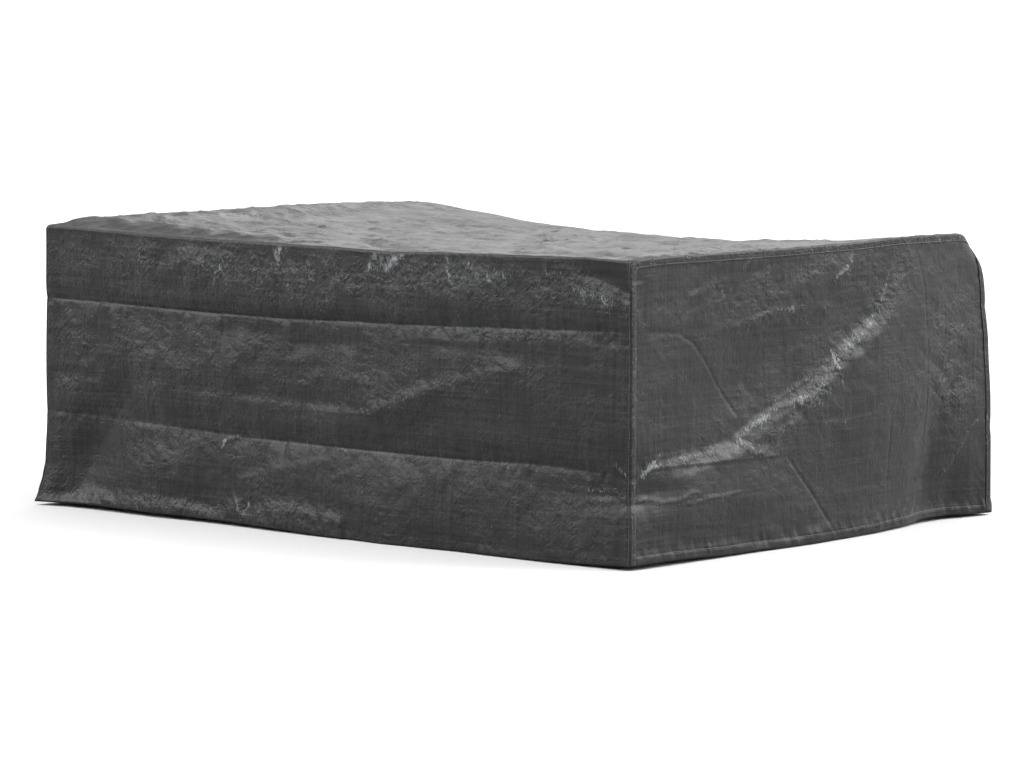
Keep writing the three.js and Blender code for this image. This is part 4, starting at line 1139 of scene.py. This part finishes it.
def end_lift(side, u, v):
    up = np.abs(v)
    beside, below = HALF_DEPTH - np.abs(u), HEIGHT - up
    edge = np.minimum(beside, below)
    wall = "right" if side > 0 else "left"
    crumples = crumple(u, v, 60 + 20 * side) * over_wall(CRUMPLED, wall, u, up)
    out = (crumples + small_folds(wall, u, up)[0]) * smooth((edge - LAP - 2) / 30)
    out = out + 0.8 * pull(np.where(beside < below, up, u), edge - LAP, 15)
    out = out + hem_lift(u, up, 31 + side, wavy_border(u, 12 + side), END_FLARE)
    free = smooth((edge - LAP + 2) / 6)
    return out * free + np.minimum(out, 0) * (1 - free) + turned_hem(v)


def end_cloth(side, u, v):
    base = np.stack([np.full_like(u, side * HALF_LENGTH), u, np.abs(v)], axis=-1)
    out = facing(base, np.array([0, 1.0, 0]), np.array([side, 0, 0.0]))
    return hung(base) + out * end_lift(side, u, v)[..., None], out


def make_end_panel(name, side, columns, wall_cells):
    radius = EDGE_ROUND - END_INSET
    turn = np.linspace(0, math.pi / 2, 5)[1:]
    v = np.concatenate([HEM_ROWS, spread(0, FRONT_TOP, wall_cells), FRONT_TOP + radius * np.sin(turn)])
    reach = np.full(len(v), HALF_DEPTH - END_INSET)
    reach[-4:] = HALF_DEPTH - EDGE_ROUND + radius * np.cos(turn)
    u = reach[:, None] * spread(-1, 1, columns)[None, :] * side
    v = np.broadcast_to(v[:, None], u.shape)
    points, _ = end_cloth(side, u, v)
    wall = "right" if side > 0 else "left"
    flat = np.stack([u, v], axis=-1).reshape(-1, 2)
    wear_and_glint = crumple_and_glint(wall, u, v).reshape(-1, 2)
    return cloth_mesh(name, points.reshape(-1, 3), flat, wear_and_glint, grid_faces(*u.shape))


end_right = make_end_panel("end_panel_right_cloth", 1, 420, 210)
end_left = make_end_panel("end_panel_left_cloth", -1, 300, 140)

# %% [markdown]
# ## The stitches
# A seam that holds a heavy cloth has two rows of stitches, one on each side of the corner, and
# each hem has one row. A stitch is a short loop of thread: it comes out of the cloth, lies on it
# and goes back in. One loop is drawn once and copied along every row.

# %% Stitches
STITCH_PITCH, STITCH_LENGTH, THREAD_RADIUS = 5.0, 4.0, 0.45
# how far along the stitch, and how high the middle of the thread lies
LOOP = [(0.0, -0.5), (0.2, 0.35), (0.8, 0.35), (1.0, -0.5)]
THREAD_SIDES = 5


def stitch_row(surface, first, last):
    """Loops of thread along a row: surface takes places along it and gives points and facings."""
    starts = np.arange(first + 2, last - STITCH_LENGTH, STITCH_PITCH)
    rings = []
    for share, height in LOOP:
        point, out = surface(starts + share * STITCH_LENGTH)
        ahead, _ = surface(starts + share * STITCH_LENGTH + 0.5)
        run = (ahead - point) / np.linalg.norm(ahead - point, axis=-1, keepdims=True)
        side = np.cross(run, out)
        for k in range(THREAD_SIDES):
            turn = 2 * math.pi * k / THREAD_SIDES
            round_thread = math.cos(turn) * side + math.sin(turn) * out
            rings.append(point + out * height + round_thread * THREAD_RADIUS)
    return np.stack(rings, axis=1)


def stitches(name, all_rows):
    points = np.concatenate(all_rows)
    count, size = points.shape[:2]
    one = []
    for ring in range(len(LOOP) - 1):
        for k in range(THREAD_SIDES):
            a, b = ring * THREAD_SIDES + k, ring * THREAD_SIDES + (k + 1) % THREAD_SIDES
            one.append([a, b, b + THREAD_SIDES, a + THREAD_SIDES])
    faces = (np.arange(count)[:, None, None] * size + np.array(one)[None]).reshape(-1, 4)
    mesh = bpy.data.meshes.new(name)
    mesh.from_pydata((points.reshape(-1, 3) / 1000).tolist(), [], faces.tolist())
    mesh.polygons.foreach_set("use_smooth", np.ones(len(faces), bool))
    piece = bpy.data.objects.new(name, mesh)
    bpy.context.scene.collection.objects.link(piece)
    print(name, count, "stitches")
    return piece


print("stitches a metre:", round(1000 / STITCH_PITCH))

# %% Rows along the seams and hems
ON_LAP = 1.7  # how far out the thread lies on the lap
LONG_ROW, END_ROW = HALF_LENGTH - 20, HALF_DEPTH - 24  # a hem's row stops short of the corners


def seam_rows(side):
    def on_wall(v):
        return long_cloth(np.full_like(v, side * (HALF_LENGTH - FRONT_STITCH)), v)

    def on_lap(v):
        return lap_cloth(side, LAP_STITCH, ON_LAP, v)

    return [stitch_row(on_wall, 0, LONG_CUT), stitch_row(on_lap, 0, LONG_CUT)]


def hem_rows():
    found = []
    for v in (HEM_STITCH, LONG_CUT - HEM_STITCH):
        found.append(stitch_row(lambda u: long_cloth(u, np.full_like(u, v)), -LONG_ROW, LONG_ROW))
    for side in (-1, 1):
        found.append(stitch_row(lambda u: end_cloth(side, u, np.full_like(u, HEM_STITCH)), -END_ROW, END_ROW))
    return found


seam_stitches = stitches("seam_stitches", seam_rows(-1) + seam_rows(1))
hem_stitches = stitches("hem_stitches", hem_rows())

# %% [markdown]
# ## The cloth's finish
# The cloth is woven from flat plastic tapes about 2.5 mm wide and coated on both sides. From a
# step away the weave is only a faint grid, and what shows is the coating: dark grey, with a low
# sheen, crumpled so finely that every square hand's breadth sparkles with short bright strokes.
# The small facets are the same roofed nets as in the mesh, drawn by a Voronoi texture and its
# distance to the edge. Thin bent lines, long threads and the tapes' weave lie over them. The
# colour is a little paler along the small creases, and the bright strokes are painted in as highlights.

# %% Node helpers
def node(tree, kind, inputs=(), **settings):
    made = tree.nodes.new(kind)
    for key, value in settings.items():
        setattr(made, key, value)
    for key, value in dict(inputs).items():
        if isinstance(value, bpy.types.NodeSocket):
            tree.links.new(value, made.inputs[key])
        else:
            made.inputs[key].default_value = value
    return made


def turned(tree, vector, turn, stretch=(1, 1, 1)):
    spin = node(tree, "ShaderNodeMapping", {"Vector": vector, "Rotation": (0, 0, math.radians(turn))})
    return node(tree, "ShaderNodeMapping", {"Vector": spin.outputs[0], "Scale": stretch}).outputs[0]


def noise(tree, vector, scale, detail=2, kind="FBM", rough=0.5):
    inputs = {"Vector": vector, "Scale": scale, "Detail": detail, "Roughness": rough}
    return node(tree, "ShaderNodeTexNoise", inputs, noise_type=kind).outputs["Fac"]


def calculate(tree, operation, a, b):
    return node(tree, "ShaderNodeMath", {0: a, 1: b}, operation=operation).outputs[0]


def ranged(tree, value, low, high, to_low, to_high):
    inputs = {"Value": value, "From Min": low, "From Max": high, "To Min": to_low, "To Max": to_high}
    return node(tree, "ShaderNodeMapRange", inputs, interpolation_type="SMOOTHSTEP").outputs[0]


def bump(tree, height, distance, strength, before=None):
    inputs = {"Height": height, "Distance": distance, "Strength": strength}
    if before is not None:
        inputs["Normal"] = before
    return node(tree, "ShaderNodeBump", inputs).outputs[0]


print("helpers", [f.__name__ for f in (node, turned, noise, calculate, ranged, bump)])


# %% Small facets
# nets a metre, turn in degrees, stretch, height in millimetres
SMALL_NETS = [(34, 15, 0.55, 6.0), (62, -50, 0.5, 4.0), (115, 70, 0.45, 2.4)]


def bent(tree, flat):
    """The flat cloth's places, bent a little, so that no net has straight edges."""
    inputs = {"Vector": flat, "Scale": 26, "Detail": 2, "Roughness": 0.6}
    wander = node(tree, "ShaderNodeTexNoise", inputs).outputs["Color"]
    centred = node(tree, "ShaderNodeVectorMath", {0: wander, 1: (0.5, 0.5, 0.5)}, operation="SUBTRACT")
    scaled = node(tree, "ShaderNodeVectorMath", {0: centred.outputs[0], "Scale": 0.03}, operation="SCALE")
    moved = node(tree, "ShaderNodeVectorMath", {0: flat, 1: scaled.outputs[0]}, operation="ADD")
    return moved.outputs[0]


def facet_height(tree, flat):
    """The small facets' height in millimetres, and how near a place is to a small crease."""
    places = bent(tree, flat)
    total, crease = 0.0, 0.0
    for scale, turn, stretch, height in SMALL_NETS:
        vector = turned(tree, places, turn, (stretch, 1, 1))
        inputs = {"Vector": vector, "Scale": scale}
        net = node(tree, "ShaderNodeTexVoronoi", inputs, feature="DISTANCE_TO_EDGE").outputs["Distance"]
        total = calculate(tree, "ADD", calculate(tree, "MULTIPLY", net, height), total)
        crease = calculate(tree, "MAXIMUM", ranged(tree, net, 0.0, 0.09, 1.0, 0.0), crease)
    return total, crease


print("small facets are about", [round(1000 / scale) for scale, *_ in SMALL_NETS], "mm wide")


# %% [markdown]
# ## Strokes, weave and painted sparkle
# Between the facets run long bent lines, where the coating buckled when the cover was folded.
# Under them lies the weave, and some of its tapes are paler than others. The sparkle is painted
# highlight: short pale strokes along the tapes, in the colour. A single noise for all three would
# look like dirt: each is stretched along the way it runs on the real cloth.

# %% Strokes and weave
# lines a metre, turn in degrees, stretch, height in millimetres
STROKES = [(70, 28, 0.16, 1.8), (85, -20, 0.14, 1.4), (60, 80, 0.2, 1.2)]
TAPES, TAPE_HEIGHT, THREAD_HEIGHT = 63, 0.1, 0.4  # bands a metre, and heights in millimetres


def stroke_height(tree, flat):
    total = 0.0
    for scale, turn, stretch, height in STROKES:
        vector = turned(tree, flat, turn, (1, stretch, 1))
        lines = noise(tree, vector, scale, 2, "RIDGED_MULTIFRACTAL", 0.6)
        where = ranged(tree, noise(tree, vector, scale / 7, 1), 0.45, 0.62, 0.0, height)
        total = calculate(tree, "ADD", calculate(tree, "MULTIPLY", lines, where), total)
    return total


def weave_height(tree, flat):
    """Tapes over and under each other, and now and then a thicker thread."""
    total = 0.0
    for turn in (0, 90):
        vector = turned(tree, flat, turn)
        inputs = {"Vector": vector, "Scale": TAPES, "Distortion": 0.5, "Detail": 1}
        wave = node(tree, "ShaderNodeTexWave", inputs, bands_direction="X", wave_profile="TRI")
        thread = noise(tree, turned(tree, flat, turn, (1, 0.03, 1)), 190, 2, rough=0.7)
        total = calculate(tree, "ADD", calculate(tree, "MULTIPLY", wave.outputs["Fac"], TAPE_HEIGHT), total)
        total = calculate(tree, "ADD", ranged(tree, thread, 0.5, 0.75, 0.0, THREAD_HEIGHT), total)
    return total


print("strokes are about", [round(1000 / scale) for scale, *_ in STROKES], "mm apart")


# %% Tapes' shade and painted sparkle
def tape_shade(tree, flat):
    """Some tapes of the weave are a little paler, and some darker."""
    upright = noise(tree, turned(tree, flat, 0, (1, 0.02, 1)), 130, 3, rough=0.7)
    level = noise(tree, turned(tree, flat, 90, (1, 0.02, 1)), 130, 3, rough=0.7)
    return ranged(tree, calculate(tree, "ADD", upright, level), 0.7, 1.3, 0.6, 1.4)


def sparkle(tree, flat, painted_glint):
    """Painted highlights: short pale strokes along the tapes, in clumps, where more highlight is painted."""
    strokes = noise(tree, turned(tree, flat, 9, (1, 0.33, 1)), 270, 2, rough=0.6)
    clumps = noise(tree, turned(tree, flat, -28, (1, 0.4, 1)), 48, 2, rough=0.6)
    total = calculate(tree, "ADD", strokes, calculate(tree, "MULTIPLY", clumps, 0.7))
    total = calculate(tree, "ADD", total, calculate(tree, "MULTIPLY", painted_glint, 0.25))
    return ranged(tree, total, 1.06, 1.36, 0.0, 1.0)


# %% [markdown]
# ## The coated cloth
# The heights of facets and strokes become a bump over the weave's bump, so light slides over
# both. The coating reflects little, as thin plastic film does, so its IOR is low, and its
# roughness changes from patch to patch. The colour moves between the cloth's dark tone and a
# paler tone: paler lines along the small creases, and glints painted in as highlights.

# %% The coated cloth
COATING_IOR = 1.2
# the paler tone is used for the lines of the small creases and for the painted highlights
GLINT_AND_CREASE_PALER = 10  # times the tone of the cloth
GLINT_HEIGHT = 0.8


def coated_cloth(name, tone, shift):
    material = bpy.data.materials.new(name)
    material.use_nodes = True
    tree = material.node_tree
    shader = tree.nodes["Principled BSDF"]
    uv = node(tree, "ShaderNodeUVMap", uv_map="flat_cloth").outputs["UV"]
    flat = node(tree, "ShaderNodeMapping", {"Vector": uv, "Location": shift}).outputs[0]
    amount = node(tree, "ShaderNodeAttribute", attribute_name="crumpled").outputs["Fac"]
    patches = noise(tree, flat, 6, 3, rough=0.6)
    amount = calculate(tree, "MULTIPLY", amount, ranged(tree, patches, 0.38, 0.62, 0.5, 1.25))

    facets, crease = facet_height(tree, flat)
    # how much highlight is painted here, which the glints below follow
    painted_glint = node(tree, "ShaderNodeAttribute", attribute_name="painted_glint").outputs["Fac"]
    glints = sparkle(tree, flat, painted_glint)
    crumpling = calculate(tree, "MULTIPLY", calculate(tree, "ADD", facets, stroke_height(tree, flat)), amount)
    crumpling = calculate(tree, "ADD", crumpling, calculate(tree, "MULTIPLY", glints, GLINT_HEIGHT))
    normal = bump(tree, weave_height(tree, flat), 0.001, 0.35)
    tree.links.new(bump(tree, crumpling, 0.001, 0.9, normal), shader.inputs["Normal"])

    grain = noise(tree, flat, 380, 2, rough=0.7)
    rough = ranged(tree, patches, 0.35, 0.65, 0.31, 0.41)
    rough = calculate(tree, "ADD", rough, ranged(tree, grain, 0.3, 0.7, -0.04, 0.04))
    tree.links.new(rough, shader.inputs["Roughness"])

    # paler along the small creases, and paler again where the glints are painted in as highlights
    paleness_and_glint = calculate(tree, "MULTIPLY", crease, ranged(tree, grain, 0.35, 0.6, 0.02, 0.16))
    paleness_and_glint = calculate(tree, "MAXIMUM", calculate(tree, "MULTIPLY", paleness_and_glint, amount), glints)
    wear_and_glint = [GLINT_AND_CREASE_PALER * channel for channel in tone]
    mix = node(tree, "ShaderNodeMix", {0: paleness_and_glint, 6: (*tone, 1), 7: (*wear_and_glint, 1)}, data_type="RGBA")
    shade = calculate(tree, "MULTIPLY", ranged(tree, grain, 0.3, 0.7, 0.75, 1.25), tape_shade(tree, flat))
    shade = node(tree, "ShaderNodeVectorMath", {0: mix.outputs[2], "Scale": shade}, operation="SCALE")
    tree.links.new(shade.outputs[0], shader.inputs["Base Color"])
    shader.inputs["IOR"].default_value = COATING_IOR
    return material


# %% The sewing thread
THREAD_DARK, THREAD_PALE = (0.05, 0.05, 0.052, 1), (0.13, 0.13, 0.134, 1)


def sewing_thread():
    material = bpy.data.materials.new("sewing_thread")
    material.use_nodes = True
    tree = material.node_tree
    shader = tree.nodes["Principled BSDF"]
    place = node(tree, "ShaderNodeTexCoord").outputs["Object"]
    twist = noise(tree, place, 900, 1)
    mix = node(tree, "ShaderNodeMix", {0: twist, 6: THREAD_DARK, 7: THREAD_PALE}, data_type="RGBA")
    tree.links.new(mix.outputs[2], shader.inputs["Base Color"])
    tree.links.new(bump(tree, twist, 0.0002, 0.6), shader.inputs["Normal"])
    shader.inputs["Roughness"].default_value = 0.6
    return material


# %% Dress the pieces
CLOTH_TONE = (0.0095, 0.0097, 0.0101)
long_panel.data.materials.append(coated_cloth("coated_cloth_long", CLOTH_TONE, (0, 0, 0)))
end_finish = coated_cloth("coated_cloth_ends", CLOTH_TONE, (3.1, 1.7, 0))
thread = sewing_thread()
for panel in (end_right, end_left):
    panel.data.materials.append(end_finish)
for row in (seam_stitches, hem_stitches):
    row.data.materials.append(thread)
print("finishes", [m.name for m in bpy.data.materials])

# %% [markdown]
# Each cloth stands for its solid, which is hidden, and rides on the one body. The size each
# cloth had when it was cut is printed.

# %% Ride, replace, print the cut sizes
FLAT_LONG = ((LENGTH + 2 * LAP) / 1000, (LONG_CUT + 2 * HEM_TURN) / 1000)
FLAT_END = (DEPTH / 1000, (HEIGHT + HEM_TURN) / 1000)
for piece, solid, flat in (
    (long_panel, "long_panel", FLAT_LONG),
    (end_right, "end_panel_right", FLAT_END),
    (end_left, "end_panel_left", FLAT_END),
):
    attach(piece, "root")
    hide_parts(solid)
    print(piece.name, "cut", [round(side, 3) for side in flat])
for row in (seam_stitches, hem_stitches):
    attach(row, "root")
